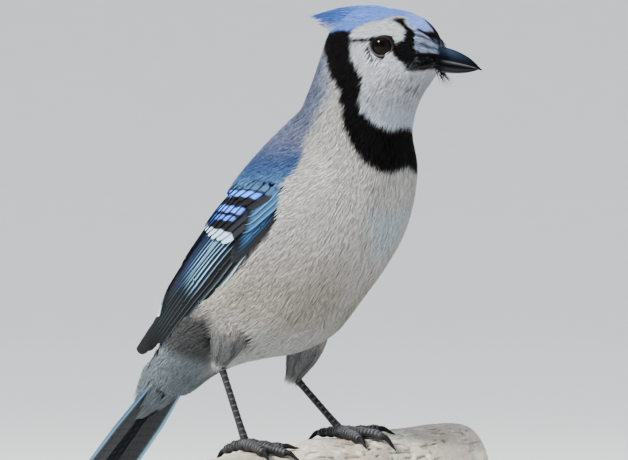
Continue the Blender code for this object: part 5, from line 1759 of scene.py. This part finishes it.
def stand():
    wood, steel = woodMaterial(), steelMaterial()
    look = standLook
    bpy.ops.object.select_all(action="DESELECT")
    middle = toRow((*look["centre"], -floorDrop + look["size"][2] / 2))
    bpy.ops.mesh.primitive_cube_add(size=1.0, location=tuple(middle))
    board = bpy.context.object
    board.name = "base_board"
    board.scale = tuple(s * mm for s in look["size"])
    bpy.ops.object.transform_apply(location=True, rotation=False, scale=True)
    pickEdges(board, lambda a, b: abs(a.z - b.z) > mm)
    bpy.ops.mesh.bevel(offset=look["corner"] * mm, segments=14, profile=0.5)
    bpy.ops.object.mode_set(mode="OBJECT")
    soften = board.modifiers.new("eased edges", "BEVEL")
    soften.width = look["edge"] * mm
    soften.segments = 3
    soften.limit_method = "ANGLE"
    soften.angle_limit = math.radians(50)
    bpy.ops.object.modifier_apply(modifier=soften.name)
    board.data.shade_smooth()
    board.data.set_sharp_from_angle(angle=math.radians(35))
    board.data.materials.clear()
    board.data.materials.append(wood)
    keep(board, "stained_wood", ("stand_base",))
    for n in (1, 2):
        middle = perchAlong * (n - 1.5) * look["spacing"] - perchUp * perchLook["halfHeight"]
        low = -floorDrop + look["size"][2] - look["socket"]
        high = middle[2] - perchLook["halfHeight"] + look["socket"]
        bpy.ops.object.select_all(action="DESELECT")
        bpy.ops.mesh.primitive_cylinder_add(vertices=64, radius=look["rod"] * mm, depth=(high - low) * mm,
                                            location=tuple(toRow((middle[0], middle[1], (high + low) / 2))))
        rod = bpy.context.object
        rod.name = f"rod_{n}_brushed"
        bpy.ops.object.transform_apply(location=True, rotation=False, scale=True)
        rod.data.shade_smooth()
        rod.data.set_sharp_from_angle(angle=math.radians(40))
        rod.data.materials.clear()
        rod.data.materials.append(steel)
        keep(rod, "rod_steel", (f"stand_rod_{n}",))
    print("stand")


# Floor, light and camera


stageLook = {"radius": 14.0, "height": 9.0, "curve": 3.5}  # in metres


def paperMaterial():
    # matt paper: faintly clouded and without any shine, so that nothing leads the eye off the bird
    material, shader = newMaterial("studio_paper_matt", {"Roughness": 0.95})
    soft = textured(material, "ShaderNodeTexNoise", 40.0, Detail=2.0)
    tone = mixColours(material, soft.outputs["Fac"], linear("#e4e5e3"), linear("#e9eae8"))
    put(material, tone, shader, "Base Color")
    return material


def stageSet():
    # a pale round floor that curves up far off into a plain wall, open to the studio's air above
    bpy.ops.object.select_all(action="DESELECT")
    bpy.ops.mesh.primitive_cylinder_add(vertices=160, radius=stageLook["radius"], depth=stageLook["height"],
                                        end_fill_type="NOTHING",
                                        location=(0.0, 0.0, stageLook["height"] / 2))
    room = bpy.context.object
    room.name = "studio_sweep"
    bpy.ops.object.transform_apply(location=True, rotation=False, scale=True)
    pickEdges(room, lambda a, b: a.z < 0.01 and b.z < 0.01)
    bpy.ops.mesh.edge_face_add()
    bpy.ops.mesh.bevel(offset=stageLook["curve"], segments=20, profile=0.5)
    bpy.ops.mesh.select_all(action="SELECT")
    bpy.ops.mesh.normals_make_consistent(inside=True)
    bpy.ops.object.mode_set(mode="OBJECT")
    room.data.shade_smooth()
    room.data.materials.append(paperMaterial())
    print("floor")


lampLook = {  # metres to the right, up and towards the camera, width, watts, colour
    "key_soft_sun": (-2.1, 2.2, 1.2, 0.5, 400.0, "#fff8ef"),
    "fill_camera_side": (1.6, 0.8, 2.2, 2.0, 12.0, "#e8f0ff"),
    "rim_from_behind": (-0.6, 1.9, -1.8, 1.2, 30.0, "#f2f6ff"),
}
airLook = {
    "ceiling": 2.6,
    "ceilingSpread": 60.0,
    "ceilingColour": "#f6f8ff",
    "air": 0.55,
    "airColour": "#dfe6ee",
}


def lights():
    middle = toRow((0.0, 0.0, 90.0))
    up = np.array([0.0, 0.0, 1.0])
    for name, (right, high, back, size, power, colour) in lampLook.items():
        place = middle + viewRight * right + up * high + viewBack * back
        lamp = bpy.data.lights.new(name, "AREA")
        lamp.shape = "DISK"
        lamp.size = size
        lamp.energy = power
        lamp.color = tuple(linear(colour))
        thing = bpy.data.objects.new(name, lamp)
        thing.location = tuple(place)
        thing.rotation_euler = Vector(tuple(middle - place)).to_track_quat("-Z", "Y").to_euler()
        bpy.context.scene.collection.objects.link(thing)
    ceiling = bpy.data.lights.new("studio_ceiling", "SUN")
    ceiling.energy = airLook["ceiling"]
    ceiling.angle = math.radians(airLook["ceilingSpread"])
    ceiling.color = tuple(linear(airLook["ceilingColour"]))
    bpy.context.scene.collection.objects.link(bpy.data.objects.new("studio_ceiling", ceiling))
    world = bpy.data.worlds.new("studio_air")
    world.use_nodes = True
    background = world.node_tree.nodes["Background"]
    background.inputs["Color"].default_value = (*linear(airLook["airColour"]), 1.0)
    background.inputs["Strength"].default_value = airLook["air"]
    bpy.context.scene.world = world
    print("lights")


cameraLook = {
    "photoWidth": 628.0,  # in pixels
    "centre": (314.0, 230.0),
    "sensor": 36.0,
    "distance": 4000.0,
    "farthest": 60.0,  # in metres
}


def camera():
    # the photo's framing: level, from the bird's right front
    sensor, distance, centre = (cameraLook[name] for name in ("sensor", "distance", "centre"))
    right = (centre[0] - pixelOfOrigin[0]) * pixelSize
    up = (pixelOfOrigin[1] - centre[1]) * pixelSize
    target = viewRight * right + np.array([0.0, 0.0, up])
    lens = bpy.data.cameras.new("photo_camera")
    lens.sensor_width = sensor
    lens.lens = sensor * distance / (cameraLook["photoWidth"] * pixelSize)
    lens.clip_end = cameraLook["farthest"]
    thing = bpy.data.objects.new("photo_camera", lens)
    thing.location = tuple(toRow(target + viewBack * distance))
    thing.rotation_euler = (math.pi / 2, 0.0, viewTurn)
    bpy.context.scene.collection.objects.link(thing)
    bpy.context.scene.camera = thing
    print("camera")


skin()
coat()
wingCover()
thighCoat()
crest()
nasalTufts()
for word, side in sides:
    wing(word, side)
tail()
eyes()
horn = hornMaterial()
bill(horn)
mouthAndBristles(horn)
legs(legMaterial(), horn)
perch()
stand()
stageSet()
lights()
camera()
